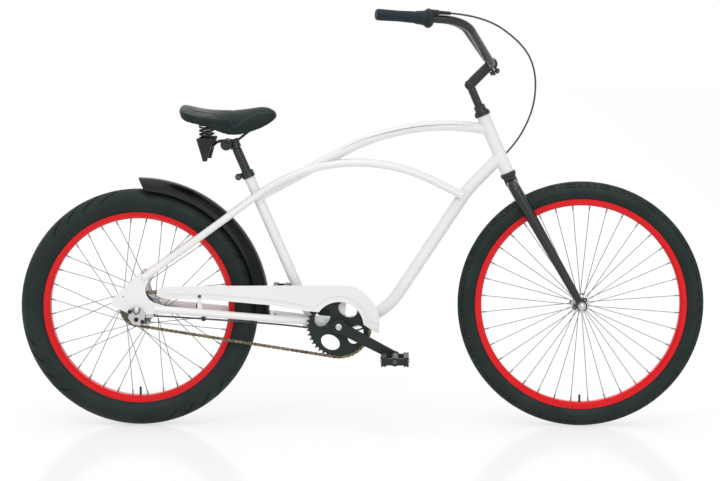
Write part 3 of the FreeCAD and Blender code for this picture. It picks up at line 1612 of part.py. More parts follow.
guard = cut("guard", fuse("guard_solid", guard_plate, guard_panel, guard_lip), screw_hole)
node("chainguard", guard)
stay_start, stay_middle = chainstay_points(-1)[:2]
tab_share = (screw_spot.x - stay_start.x) / (stay_middle.x - stay_start.x)
tab_height = screw_spot.z + 8 - stay_start.z - (stay_middle.z - stay_start.z) * tab_share
tab = box("guard_tab", 12, 2, tab_height, screw_spot + V(0, 1, 8 - tab_height / 2))
rear_bracket = cut("rear_bracket", tab, chainstays[-1], screw_hole)
cup_face = bracket - ACROSS * (S["bracket_shell_width"] / 2 + 4)
leg_line = slope(84)
leg = box("bracket_leg", 106, 2, 26, cup_face - ACROSS * 1 + leg_line * 53, leg_line)
eye = cylinder("bracket_eye", 21, 2, cup_face - ACROSS * 2)
tongue_width = guard_face.y - cup_face.y + 2
tongue = box("bracket_tongue", 26, abs(tongue_width) + 4, 2, V(0, 0, 0))
tongue.Placement.Base = V(bracket.x - 2, guard_face.y, bracket.z + 102.6)
eye_bore = cylinder("bracket_bore", "spindle_diameter / 2 + 1", 30, cup_face - ACROSS * 15)
front_bracket = cut("front_bracket", fuse("front_solid", leg, eye, tongue), eye_bore, guard)
node("chainguard_brackets", group("guard_brackets", rear_bracket, front_bracket))
screw = [
    (0, -2.2),
    (2.5, -2.2),
    (2.5, "guard_gauge"),
    (4.8, "guard_gauge"),
    (4.8, "guard_gauge + 1.2"),
    (3.4, "guard_gauge + 2.4"),
    (0, "guard_gauge + 2.4"),
]
guard_screw = turned("guard_screw", screw, screw_spot, -ACROSS)
node("frame_screws", group("screws", clamp_screw, guard_screw, *bolts))

# Shift cable: a free loop from the shifter to the frame, then a clipped run to the hub


def widest(points):
    # The largest arc at each corner that leaves a short straight between two corners.
    radii = []
    for before, corner, after in zip(points, points[1:], points[2:]):
        turn = (corner - before).getAngle(after - corner)
        shorter = min((corner - before).Length, (after - corner).Length)
        radii.append(0.46 * shorter / math.tan(turn / 2))
    return radii


lane_side = S["down_tube_diameter"] / 2 + S["cable_diameter"] / 2 + 1.5
lane_drop = 8.0
stop_line = (down_start - down_high).normalize()
stop_lane = V(stop_line.z * lane_drop, lane_side, -stop_line.x * lane_drop)
main_lane = V(down_line.z * lane_drop, lane_side, -down_line.x * lane_drop)
stop = down_high + (down_start - down_high) * 0.38 + stop_lane
cable_start = housing_start + nub_offset + right_line * nub_length
loop_points = [
    cable_start,
    cable_start + right_line * 92,
    clamp_centre + V(75, -178, 57),
    clamp_centre + V(114, -112, -13),
    clamp_centre + V(116, -52, -106),
    clamp_centre + V(84, 4, -191),
    stop + stop_line * 84,
    stop + stop_line * 0.3,
]
loop = route(loop_points, widest(loop_points))
node("shift_cable_loop", sweep("cable_loop", loop, "cable_diameter / 2"))
under = bracket + V(0, 0, -S["bracket_shell_diameter"] / 2 - 7)
lane_low = down_middle + down_line * ((bracket.z + 95 - down_middle.z) / down_line.z) + main_lane
hang = S["chainstay_diameter"] / 2 + S["cable_diameter"] / 2 + 1
right_stay = chainstay_points(-1)
near_end = right_stay[1] + (right_stay[2] - right_stay[1]) * 0.72
run_points = [
    stop,
    down_high + (stop_lane + main_lane) * 0.5,
    lane_low,
    V(lane_low.x - 85, lane_side, under.z + 14),
    under,
    near_end - V(0, 4, hang + 3),
    right_stay[1] - V(0, 0, hang),
    right_stay[0] + (right_stay[1] - right_stay[0]) * 0.13 - V(0, 0, hang + 4),
    cable_end,
]
run_radii = widest(run_points)
cable_run = route(run_points, run_radii)
node("shift_cable_run", sweep("cable_run", cable_run, "cable_diameter / 2"))
clip_line = right_stay[1] - right_stay[0]
clip_rear = right_stay[0] + clip_line * 0.47 - V(0, 0, hang + 2)
clip_front = right_stay[0] + clip_line * 0.93 - V(0, 0, hang)
stop_sleeve = cylinder("stop_sleeve", 6.5, 10, stop - stop_line * 5, stop_line)
stop_bore = cylinder("stop_bore", "cable_diameter / 2", 30, stop - stop_line * 15, stop_line)
guides = [cut("stop_guide", stop_sleeve, down_outer, stop_bore)]
for name, spot, direction, radius, host in (
    ("middle_guide", down_middle + main_lane, down_line, 6.5, down_outer),
    ("under_guide", under, run_points[5] - run_points[3], 7.6, shell_outer),
    ("clip_front", clip_front, clip_line, 5.5, chainstays[-1]),
    ("clip_rear", clip_rear, clip_line, 6.5, chainstays[-1]),
):
    line = V(direction.x, direction.y, direction.z).normalize()
    sleeve = cylinder(name + "_sleeve", radius, 10, spot - line * 5, line)
    guides.append(cut(name, sleeve, host, NODES["shift_cable_run"]))
node("cable_guides", group("guides", *guides))

doc.recompute()

# Check every object before anything is written

for thing in doc.Objects:
    if "Invalid" in thing.State or "Error" in thing.State:
        raise RuntimeError(f"{thing.Name} did not build: {thing.State}")
for label, thing in NODES.items():
    if thing.Shape.isNull() or not thing.Shape.isValid() or not thing.Shape.Solids:
        raise RuntimeError(f"{label} has no valid solid")
for name, wire, radius in (
    ("shift_cable_loop", loop, S["cable_diameter"] / 2),
    ("shift_cable_run", cable_run, S["cable_diameter"] / 2),
):
    share = NODES[name].Shape.Volume / (math.pi * radius ** 2 * wire.Length)
    print(name, "length", round(wire.Length), "mm, volume against section times length", round(share, 4))
print("cable radii", [round(radius) for radius in widest(loop_points) + run_radii], "mm")

os.makedirs("parts", exist_ok=True)
for label, thing in NODES.items():
    thing.Shape.exportStep(f"parts/{label}.step")
print(len(NODES), "nodes")
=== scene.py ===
"""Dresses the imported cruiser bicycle: tyres, saddle cover, springs, cables, trim, finishes and stage."""

import math

import bpy
from bpy.props import FloatProperty, FloatVectorProperty, IntProperty, PointerProperty
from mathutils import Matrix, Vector


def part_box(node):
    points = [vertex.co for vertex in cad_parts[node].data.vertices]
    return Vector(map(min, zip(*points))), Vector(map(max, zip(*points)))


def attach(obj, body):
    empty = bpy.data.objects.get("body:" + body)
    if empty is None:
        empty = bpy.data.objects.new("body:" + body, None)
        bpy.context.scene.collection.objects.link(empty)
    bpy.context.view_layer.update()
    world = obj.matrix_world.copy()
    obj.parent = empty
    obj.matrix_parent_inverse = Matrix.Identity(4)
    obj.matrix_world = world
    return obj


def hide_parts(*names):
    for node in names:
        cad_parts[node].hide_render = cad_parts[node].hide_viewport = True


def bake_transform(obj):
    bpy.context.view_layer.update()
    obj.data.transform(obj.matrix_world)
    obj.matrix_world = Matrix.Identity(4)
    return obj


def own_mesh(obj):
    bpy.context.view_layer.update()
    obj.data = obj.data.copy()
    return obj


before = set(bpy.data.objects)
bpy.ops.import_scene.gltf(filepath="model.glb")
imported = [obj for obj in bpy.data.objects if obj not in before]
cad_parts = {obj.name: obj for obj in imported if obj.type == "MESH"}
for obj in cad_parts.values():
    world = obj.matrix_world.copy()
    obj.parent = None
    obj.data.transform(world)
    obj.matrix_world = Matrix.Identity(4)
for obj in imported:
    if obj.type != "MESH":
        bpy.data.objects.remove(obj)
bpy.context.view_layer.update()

bl_info = {
    "name": "Cruiser Bicycle",
    "version": (1, 0, 0),
    "blender": (4, 5, 0),
    "location": "View3D > Sidebar > Cruiser",
    "description": "Models the soft and fine pieces of a cruiser bicycle over its packed frame",
    "category": "Object",
}

# Sizes and places are in metres, angles in degrees. A path on the bicycle's side runs forward and up.

# Driving places: the tyres stand on the floor, so each axle is as high as its tyre's radius
REAR_RADIUS = 0.322
FRONT_RADIUS = 0.3325
REAR_AXLE = Vector((-0.60275, 0.0, REAR_RADIUS))
FRONT_AXLE = Vector((0.59225, 0.0, FRONT_RADIUS))
BRACKET = Vector((-0.059964, 0.0, 0.2776))
SADDLE_CLAMP = Vector((-0.363154, 0.0, 0.764018))
SPRING_FOOT = Vector((-0.41715, 0.0, 0.770038))

# Both sides of the bicycle, as the sign of the place across it and the word in a piece's name
SIDES = ((-1, "right"), (1, "left"))

# Edges sharper than these stay crisp under smooth shading
MOULDED_EDGE = 40
CORD_EDGE = 60
PADDED_EDGE = 70

# A face looks one way where its normal leans that way by more than this
FACING = 0.9

# Tyre sections. Inside the rim's edge a tyre is no wider to each side than the rim's channel
REAR_WIDTH = 0.072
REAR_RIM_EDGE = 0.2595
REAR_CHANNEL = 0.0215
FRONT_WIDTH = 0.054
FRONT_RIM_EDGE = 0.2855
FRONT_CHANNEL = 0.0155

# Rear tread: bands on each side of its centre line, by the angle round the section
GROOVE_BAND = (6.0, 11.0)
CUT_BAND = (16.0, 74.0)
REAR_RIDGE_BAND = (94.0, 99.5)
REAR_RIDGE = 0.0007
REAR_ROWS = 64
COLUMNS_PER_CUT = 18
FIRST_CUT = 90.0

# The cuts lean: the tread is turned round the wheel, more and more over this stretch of the section
LEAN_START = 14.0
LEAN_SPAN = 62.0
LEAN_TURN = 9.0

# Front tread: rows and columns of faces that the slots and the ridge take up. The slack keeps rounding
# from counting a face into the row or column before its own
FRONT_ROWS = 72
SLOT_ROWS = (1, 4, 7, 11)
SLOT_COUNT = 150
SLOT_PITCH = 6
SLOT_GAP = 2
SLOT_STAGGER = 3
FRONT_RIDGE_ROW = 19
FRONT_RIDGE = 0.0006
COUNT_SLACK = 0.01

# Saddle cover: mesh sizes, steps of the cloth run, and the lean of the surface where it is free to swell
MERGE_DISTANCE = 0.00005
COVER_VOXEL = 0.0036
CLOTH_STEPS = 20
TOP_LEAN = 0.2
FLANK_LEAN = 0.25
END_LEAN = 0.4
UNDER_LEAN = -0.5

# Seams on each flank of the saddle, from the clamp
SEAM_TAPER = 0.4
SEAMS = {
    "rear": (
        (-0.118, 0.098),
        (-0.090, 0.095),
        (-0.060, 0.089),
        (-0.024, 0.081),
        (-0.004, 0.075),
        (0.010, 0.067),
        (0.018, 0.057),
        (0.023, 0.046),
    ),
    "front": (
        (0.023, 0.046),
        (0.036, 0.056),
        (0.051, 0.067),
        (0.064, 0.076),
        (0.080, 0.083),
        (0.100, 0.087),
        (0.118, 0.086),
    ),
}

# Saddle springs
COIL_TURNS = 4.5
COIL_STEPS = 72
COIL_HEIGHT = 0.04396
COIL_RADIUS = 0.0135
COIL_OFFSET = 0.07

# The shift cable's route: from the twist shifter round to the down tube, then under the frame to the hub
CABLE_RADIUS = 0.0025
LOOP_ROUTE = (
    (0.2313, -0.2782, 1.1144),
    (0.3190, -0.2509, 1.1080),
    (0.4215, -0.1780, 1.0373),
    (0.4605, -0.1120, 0.9673),
    (0.4625, -0.0520, 0.8743),
    (0.4305, 0.0040, 0.7893),
    (0.3840, 0.0210, 0.7313),
    (0.3251, 0.0210, 0.6718),
)
RUN_ROUTE = (
    (0.3249, 0.0210, 0.6716),
    (0.2920, 0.0210, 0.6384),
    (0.1139, 0.0210, 0.3682),
    (0.0289, 0.0210, 0.2641),
    (-0.0600, 0.0000, 0.2501),
    (-0.1502, -0.0330, 0.2719),
    (-0.2747, -0.0520, 0.2861),
    (-0.5201, -0.0659, 0.3042),
    (-0.5587, -0.0625, 0.3050),
)

# Dished pieces: depth of the dish, and rounding of the edges
DISH_DEPTH = 0.0008
EDGE_ROUND = 0.0006

# Pedal reflectors
REFLECTOR_SIZE = (0.005, 0.046, 0.012)
REFLECTOR_RIM = 0.0016

# A grey line along the side of the top tube, darker than the frame's white
STRIPE_RADIUS = 0.0012
STRIPE_TAPER = 0.75
STRIPE_PROUD = 0.0005
STRIPE = (
    (-0.0546, 0.7512),
    (-0.0277, 0.7647),
    (0.0093, 0.7799),
    (0.0496, 0.7917),
    (0.0932, 0.8025),
    (0.1301, 0.8095),
    (0.1636, 0.8143),
    (0.1972, 0.8170),
    (0.2307, 0.8183),
    (0.2642, 0.8180),
    (0.3011, 0.8154),
)

# The chainguard's line from the bracket: along the lower edge, round above the chainring, and to its end
GUARD_LINE_RADIUS = 0.0013
GUARD_EDGE = (
    (-0.468, 0.0858),
    (-0.42, 0.0855),
    (-0.368, 0.0853),
    (-0.292, 0.0803),
    (-0.182, 0.0709),
    (-0.11, 0.0588),
)
GUARD_ARC_RADIUS = 0.0804
GUARD_ARC_ANGLES = range(146, 8, -10)
GUARD_END = (0.105, 0.0055)

# Caps on the shift case: name, place forward and up from the axle, place across the bicycle, and radius
CASE_CAPS = (
    ("knob", -0.017, -0.003, -0.0905, 0.0054),
    ("pivot", 0.0, -0.024, -0.0885, 0.0062),
    ("foot", 0.016, -0.030, -0.0845, 0.0052),
)
CAP_DEPTH = 0.006
CAP_CORNERS = 32
CAP_RIM_SHARE = 0.3

# A path is laid on a surface by looking across the bicycle from this far out
LOOK_FROM = 0.4

# Stage: the floor is white to the eye. A share of it is plain and takes the shadow, and that share fades
# out between two distances from the middle
FLOOR_SIZE = 60.0
FLOOR_COLOUR = (0.98, 0.98, 0.98, 1.0)
FLOOR_SHEEN = 0.1
FLOOR_ROUGHNESS = 0.12
SHADOW_SHARE = 0.34
SHADOW_FADE = (0.9, 1.9)
WHITE = (1.0, 1.0, 1.0, 1.0)

# Lamps: name, place, spread and the setting that holds the strength
LAMPS = (
    ("top_lamp", (-0.3, -0.6, 4.2), 55.0, "top_level"),
    ("side_lamp", (1.4, -4.6, 2.6), 45.0, "side_level"),
    ("edge_lamp", (-1.6, -3.6, 3.4), 14.0, "edge_level"),
    ("back_lamp", (-1.0, 4.6, 2.6), 60.0, "back_level"),
)

# Camera, with its sensor and lens in millimetres
CAMERA_PLACE = Vector((0.103, -6.0, 1.1))
CAMERA_TARGET = Vector((-0.0044, 0.0, 0.5037))
CAMERA_SENSOR = 36.0
CAMERA_LENS = 111.45
CAMERA_REACH = 100.0

# Settings


class FinishSettings(bpy.types.PropertyGroup):
    frame_colour: FloatVectorProperty(
        name="Frame paint",
        description="Paint of the frame tubes and the chainguard",
        subtype="COLOR",
        size=4,
        min=0.0,
        max=1.0,
        default=(0.83, 0.83, 0.825, 1.0),
    )
    rim_colour: FloatVectorProperty(
        name="Rim paint",
        description="Paint of both rims",
        subtype="COLOR",
        size=4,
        min=0.0,
        max=1.0,
        default=(0.76, 0.008, 0.013, 1.0),
    )
    rubber_colour: FloatVectorProperty(
        name="Tyre rubber",
        description="Charcoal rubber of both tyres",
        subtype="COLOR",
        size=4,
        min=0.0,
        max=1.0,
        default=(0.0105, 0.0205, 0.0185, 1.0),
    )
    black_colour: FloatVectorProperty(
        name="Satin black",
        description="Powder coat of the fork, stem, bar and seat post",
        subtype="COLOR",
        size=4,
        min=0.0,
        max=1.0,
        default=(0.006, 0.0115, 0.0105, 1.0),
    )
    vinyl_colour: FloatVectorProperty(
        name="Saddle vinyl",
        description="Grained cover of the saddle",
        subtype="COLOR",
        size=4,
        min=0.0,
        max=1.0,
        default=(0.009, 0.019, 0.0185, 1.0),
    )


class TyreSettings(bpy.types.PropertyGroup):
    cut_depth: FloatProperty(
        name="Cut depth",
        description="Depth of the slanted shoulder cuts in the rear tyre",
        unit="LENGTH",
        default=0.0026,
        min=0.0002,
        max=0.004,
    )
    cut_count: IntProperty(
        name="Shoulder cuts",
        description="Number of slanted cuts on each shoulder of the rear tyre",
        default=36,
        min=12,
        max=72,
    )
    slot_depth: FloatProperty(
        name="Slot depth",
        description="Depth of the short slots in the tread of the front tyre",
        unit="LENGTH",
        default=0.0018,
        min=0.0002,
        max=0.004,
    )


class SaddleSettings(bpy.types.PropertyGroup):
    swell: FloatProperty(
        name="Swell",
        description="Farthest that the padding pushes the cover out",
        unit="LENGTH",
        default=0.005,
        min=0.0,
        max=0.016,
    )
    seam_radius: FloatProperty(
        name="Seam radius",
        description="Radius of the piped seams",
        unit="LENGTH",
        default=0.0016,
        min=0.0005,
        max=0.003,
    )
    wire_radius: FloatProperty(
        name="Spring wire radius",
        description="Radius of the wire of the two saddle springs",
        unit="LENGTH",
        default=0.0025,
        min=0.001,
        max=0.003,
    )


class StageSettings(bpy.types.PropertyGroup):
    sky_level: FloatProperty(
        name="Sky level",
        description="Strength of the even light from all round",
        default=0.45,
        min=0.0,
        max=2.0,
    )
    top_level: FloatProperty(
        name="Top lamp",
        description="Strength of the wide soft lamp overhead",
        default=1.0,
        min=0.0,
        max=10.0,
    )
    side_level: FloatProperty(
        name="Side lamp",
        description="Strength of the wide soft lamp in front of the drive side",
        default=0.7,
        min=0.0,
        max=10.0,
    )
    edge_level: FloatProperty(
        name="Edge lamp",
        description="Strength of the narrow lamp that draws the highlights on the black pieces",
        default=0.35,
        min=0.0,
        max=10.0,
    )
    back_level: FloatProperty(
        name="Back lamp",
        description="Strength of the wide soft lamp on the left side",
        default=0.5,
        min=0.0,
        max=10.0,
    )


# Modelling helpers


def clear_selection():
    """Leaves edit mode and deselects everything, as before a primitive is added."""
    if bpy.context.object and bpy.context.object.mode != "OBJECT":
        bpy.ops.object.mode_set(mode="OBJECT")
    bpy.ops.object.select_all(action="DESELECT")


def pick(piece):
    """Leaves only this piece selected and active."""
    clear_selection()
    piece.select_set(True)
    bpy.context.view_layer.objects.active = piece
    return piece


def new_piece(name):
    """Names the object that an operator has just added and settles its place into its mesh."""
    piece = bpy.context.object
    piece.name = name
    piece.data.name = name
    pick(piece)
    bpy.ops.object.transform_apply(location=True, rotation=True, scale=True)
    return piece


def edit_faces(piece, wanted):
    """Opens the piece in edit mode with only the wanted faces selected."""
    pick(piece)
    bpy.context.tool_settings.mesh_select_mode = (False, False, True)
    bpy.ops.object.mode_set(mode="EDIT")
    bpy.ops.mesh.select_all(action="DESELECT")
    bpy.ops.object.mode_set(mode="OBJECT")
    for face in piece.data.polygons:
        face.select = face.index in wanted
    bpy.ops.object.mode_set(mode="EDIT")


def push_faces(piece, wanted, depth):
    """Extrudes the wanted faces along their normals, outwards where depth is positive."""
    edit_faces(piece, wanted)
    bpy.ops.mesh.extrude_region_shrink_fatten(TRANSFORM_OT_shrink_fatten={"value": depth})
    bpy.ops.object.mode_set(mode="OBJECT")


def smooth(piece, degrees):
    """Smooth shading that keeps edges sharper than the angle."""
    pick(piece)
    bpy.ops.object.shade_smooth_by_angle(angle=math.radians(degrees))


def apply_modifier(piece, name):
    """Applies one of the piece's modifiers."""
    pick(piece)
    bpy.ops.object.modifier_apply(modifier=name)


def dish(piece, faces, rim):
    """Sinks the faces inside a rim, then rounds all of the piece's edges."""
    edit_faces(piece, faces)
    bpy.ops.mesh.inset(thickness=rim, depth=-DISH_DEPTH)
    bpy.ops.object.mode_set(mode="OBJECT")
    bevel = piece.modifiers.new("edges", "BEVEL")
    bevel.width = EDGE_ROUND
    bevel.segments = 2
    apply_modifier(piece, "edges")
    smooth(piece, MOULDED_EDGE)


def paint(piece, finish):
    """Gives the piece one finish."""
    piece.data.materials.clear()
    piece.data.materials.append(finish)


def nurbs_line(name, points, radius, taper):
    """A round cord along the control points, as a curve object. It thins towards its ends by taper."""
    clear_selection()
    bpy.ops.curve.primitive_nurbs_path_add()
    line = bpy.context.object
    line.name = name
    shape = line.data
    shape.splines.clear()
    spline = shape.splines.new("NURBS")
    spline.points.add(len(points) - 1)
    for index, (spot, point) in enumerate(zip(spline.points, points)):
        spot.co = (*point, 1.0)
        spot.radius = 1.0 - taper * abs(2.0 * index / (len(points) - 1) - 1.0)
    spline.order_u = 3
    spline.use_endpoint_u = True
    spline.resolution_u = 14
    shape.dimensions = "3D"
    shape.bevel_depth = radius
    shape.bevel_resolution = 5
    shape.use_fill_caps = True
    return line


def cord_piece(name, points, radius, taper=0.0):
    """A cord made a mesh, with its place in its mesh."""
    line = nurbs_line(name, points, radius, taper)
    pick(line)
    bpy.ops.object.convert(target="MESH")
    piece = new_piece(name)
    smooth(piece, CORD_EDGE)
    return piece


def laid_on(surface, path, side):
    """Places on one side of a surface, found by looking across the bicycle at each place of the path."""
    spots = []
    for forward, rise in path:
        start = Vector((forward, side * LOOK_FROM, rise))
        found, place, *_ = surface.ray_cast(start, Vector((0.0, -side, 0.0)))
        if not found:
            raise RuntimeError(f"{surface.name} isn't met at {forward:.3f}, {rise:.3f}")
        spots.append(place)
    return spots


# Shared finish groups


def new_group(name, inputs, outputs):
    """A shader node group with its sockets, its input node and its output node."""
    group = bpy.data.node_groups.new(name, "ShaderNodeTree")
    for title, kind, value in inputs:
        socket = group.interface.new_socket(name=title, in_out="INPUT", socket_type=kind)
        if value is not None:
            socket.default_value = value
    for title, kind in outputs:
        group.interface.new_socket(name=title, in_out="OUTPUT", socket_type=kind)
    return group, group.nodes.new("NodeGroupInput"), group.nodes.new("NodeGroupOutput")


def cloud_group():
    """Soft patches, for uneven colour and polish."""
    inputs = (("Vector", "NodeSocketVector", None), ("Scale", "NodeSocketFloat", 8.0))
    group, source, sink = new_group("Soft Patches", inputs, (("Mask", "NodeSocketFloat"),))
    noise = group.nodes.new("ShaderNodeTexNoise")
    noise.inputs["Detail"].default_value = 4.0
    noise.inputs["Roughness"].default_value = 0.55
    spread = group.nodes.new("ShaderNodeMapRange")
    spread.inputs["From Min"].default_value = 0.34
    spread.inputs["From Max"].default_value = 0.66
    group.links.new(source.outputs["Vector"], noise.inputs["Vector"])
    group.links.new(source.outputs["Scale"], noise.inputs["Scale"])
    group.links.new(noise.outputs["Fac"], spread.inputs["Value"])
    group.links.new(spread.outputs["Result"], sink.inputs["Mask"])
    return group


def grain_group():
    """Fine even grain, for the skin of paint, rubber and moulded plastic."""
    inputs = (("Vector", "NodeSocketVector", None), ("Scale", "NodeSocketFloat", 600.0))
    group, source, sink = new_group("Fine Grain", inputs, (("Height", "NodeSocketFloat"),))
    noise = group.nodes.new("ShaderNodeTexNoise")
    noise.inputs["Detail"].default_value = 2.0
    noise.inputs["Roughness"].default_value = 0.5
    group.links.new(source.outputs["Vector"], noise.inputs["Vector"])
    group.links.new(source.outputs["Scale"], noise.inputs["Scale"])
    group.links.new(noise.outputs["Fac"], sink.inputs["Height"])
    return group


def pebble_group():
    """Rounded pebbles with creases between them, for grained vinyl."""
    inputs = (("Vector", "NodeSocketVector", None), ("Scale", "NodeSocketFloat", 500.0))
    group, source, sink = new_group("Pebble Grain", inputs, (("Height", "NodeSocketFloat"),))
    cells = group.nodes.new("ShaderNodeTexVoronoi")
    cells.feature = "DISTANCE_TO_EDGE"
    spread = group.nodes.new("ShaderNodeMapRange")
    spread.inputs["From Max"].default_value = 0.28
    group.links.new(source.outputs["Vector"], cells.inputs["Vector"])
    group.links.new(source.outputs["Scale"], cells.inputs["Scale"])
    group.links.new(cells.outputs["Distance"], spread.inputs["Value"])
    group.links.new(spread.outputs["Result"], sink.inputs["Height"])
    return group


def brush_group():
    """Long thin lines across the bicycle, for turned and brushed metal."""
    inputs = (("Vector", "NodeSocketVector", None), ("Scale", "NodeSocketFloat", 300.0))
    group, source, sink = new_group("Brushed Lines", inputs, (("Mask", "NodeSocketFloat"),))
    stretch = group.nodes.new("ShaderNodeMapping")
    stretch.inputs["Scale"].default_value = (1.0, 0.06, 1.0)
    noise = group.nodes.new("ShaderNodeTexNoise")
    noise.inputs["Detail"].default_value = 3.0
    group.links.new(source.outputs["Vector"], stretch.inputs["Vector"])
    group.links.new(stretch.outputs["Vector"], noise.inputs["Vector"])
    group.links.new(source.outputs["Scale"], noise.inputs["Scale"])
    group.links.new(noise.outputs["Fac"], sink.inputs["Mask"])
    return group


# Finishes


class Finish:
    """One material, with its Principled shader and Object coordinates at hand."""

    def __init__(self, name):
        self.material = bpy.data.materials.new(name)
        self.material.use_nodes = True
        self.tree = self.material.node_tree
        self.shader = self.tree.nodes["Principled BSDF"]
        self.place = self.tree.nodes.new("ShaderNodeTexCoord")

    def set(self, **values):
        """Sets inputs of the shader, with an underscore for each space in an input's title."""
        for title, value in values.items():
            self.shader.inputs[title.replace("_", " ")].default_value = value
        return self

    def group(self, group, scale):
        """The output of a shared group at this scale."""
        node = self.tree.nodes.new("ShaderNodeGroup")
        node.node_tree = group
        node.inputs["Scale"].default_value = scale
        self.tree.links.new(self.place.outputs["Object"], node.inputs["Vector"])
        return node.outputs[0]

    def spread(self, mask, low, high):
        """A mask spread between two values."""
        node = self.tree.nodes.new("ShaderNodeMapRange")
        node.inputs["To Min"].default_value = low
        node.inputs["To Max"].default_value = high
        self.tree.links.new(mask, node.inputs["Value"])
        return node.outputs["Result"]

    def two_colours(self, mask, first, second):
        """A mix of two colours by a mask. The node's colour sockets are inputs 6 and 7 and output 2."""
        node = self.tree.nodes.new("ShaderNodeMix")
        node.data_type = "RGBA"
        node.inputs[6].default_value = first
        node.inputs[7].default_value = second
        self.tree.links.new(mask, node.inputs[0])
        return node.outputs[2]

    def feed(self, output, title):
        """Links an output to an input of the shader."""
        self.tree.links.new(output, self.shader.inputs[title])
        return self

    def bump(self, height, strength, distance):
        """Gives the surface a relief."""
        node = self.tree.nodes.new("ShaderNodeBump")
        node.inputs["Strength"].default_value = strength
        node.inputs["Distance"].default_value = distance
        self.tree.links.new(height, node.inputs["Height"])
        return self.feed(node.outputs["Normal"], "Normal")


def shade(colour, share):
    """The same colour, lighter or darker."""
    return (colour[0] * share, colour[1] * share, colour[2] * share, 1.0)


def skin_finish(name, colour, groups, patches, polish, grain, variation, gleam):
    """A painted, rubber or moulded surface: uneven colour and polish, with a grain."""
    finish = Finish(name).set(Specular_IOR_Level=gleam)
    mask = finish.group(groups["cloud"], patches)
    finish.feed(finish.two_colours(mask, shade(colour, variation), colour), "Base Color")
    finish.feed(finish.spread(mask, polish[1], polish[0]), "Roughness")
    scale, strength, distance = grain
    finish.bump(finish.group(groups["grain"], scale), strength, distance)
    return finish


def metal_finish(name, colour, groups, polish, lines):
    """Bare metal with fine turning lines."""
    finish = Finish(name).set(Metallic=1.0)
    mask = finish.group(groups["brush"], lines)
    finish.feed(finish.two_colours(mask, shade(colour, 0.8), colour), "Base Color")
    finish.feed(finish.spread(mask, polish[0], polish[1]), "Roughness")
    finish.bump(mask, strength=0.12, distance=0.0002)
    return finish


def chain_finish(groups):
    """Gold links with dark, oiled patches."""
    finish = Finish("chain_gold").set(Metallic=0.85)
    mask = finish.group(groups["cloud"], scale=90.0)
    oiled = (0.05, 0.044, 0.03, 1.0)
    gold = (0.26, 0.21, 0.13, 1.0)
    finish.feed(finish.two_colours(mask, oiled, gold), "Base Color")
    finish.feed(finish.spread(mask, low=0.45, high=0.3), "Roughness")
    finish.bump(finish.group(groups["grain"], scale=900.0), strength=0.15, distance=0.0003)
    return finish


def vinyl_finish(vinyl, groups):
    """Pebbled vinyl of the saddle's cover."""
    finish = Finish("saddle_vinyl").set(Specular_IOR_Level=0.2)
    mask = finish.group(groups["cloud"], scale=16.0)
    finish.feed(finish.two_colours(mask, shade(vinyl, 0.82), vinyl), "Base Color")
    finish.feed(finish.spread(mask, low=0.52, high=0.42), "Roughness")
    finish.bump(finish.group(groups["pebble"], scale=700.0), strength=0.22, distance=0.0005)
    return finish


def thread_finish(vinyl, groups):
    """Ribbed piping of the saddle's seams, painted lighter than the cover as a painted highlight of light
    along its ridge.
    """
    finish = Finish("seam_thread").set(Roughness=0.6)
    mask = finish.group(groups["brush"], scale=900.0)
    # The piping's colour, 1.3 to 1.9 times the vinyl, is a painted highlight of light catching the seam's
    # ridge
    finish.feed(finish.two_colours(mask, shade(vinyl, 1.3), shade(vinyl, 1.9)), "Base Color")
    finish.bump(mask, strength=0.3, distance=0.0004)
    return finish


def reflector_finish(groups):
    """Clear-coated, pebbled pale plastic of the pedal reflectors."""
    finish = Finish("pedal_reflector").set(Roughness=0.16, Coat_Weight=0.8)
    mask = finish.group(groups["pebble"], scale=320.0)
    finish.feed(finish.two_colours(mask, (0.5, 0.5, 0.48, 1.0), (0.8, 0.8, 0.78, 1.0)), "Base Color")
    finish.bump(mask, strength=0.5, distance=0.0006)
    return finish


def stripe_finish(groups):
    """Grey of the lines along the top tube."""
    finish = Finish("stripe_grey").set(Roughness=0.35)
    mask = finish.group(groups["cloud"], scale=60.0)
    finish.feed(finish.two_colours(mask, (0.30, 0.30, 0.31, 1.0), (0.36, 0.36, 0.37, 1.0)), "Base Color")
    return finish


# Grains: scale, strength and distance of the bump
PEEL = (260.0, 0.06, 0.00005)
COAT = (1400.0, 0.05, 0.0002)
MOULD = (1500.0, 0.15, 0.0003)
TREAD = (1800.0, 0.2, 0.0003)

# Colours that no setting holds
FIXED_COLOURS = {
    "alloy_colour": (0.013, 0.022, 0.018, 1.0),
    "fender_colour": (0.003, 0.004, 0.004, 1.0),
    "tube_colour": (0.012, 0.012, 0.012, 1.0),
    "grip_colour": (0.011, 0.02, 0.027, 1.0),
    "plastic_colour": (0.01, 0.015, 0.014, 1.0),
    "jacket_colour": (0.05, 0.055, 0.055, 1.0),
    "spoke_colour": (0.27, 0.275, 0.27, 1.0),
    "dark_steel_colour": (0.12, 0.12, 0.115, 1.0),
    "bright_steel_colour": (0.62, 0.62, 0.61, 1.0),
    "hub_colour": (0.6, 0.6, 0.6, 1.0),
}

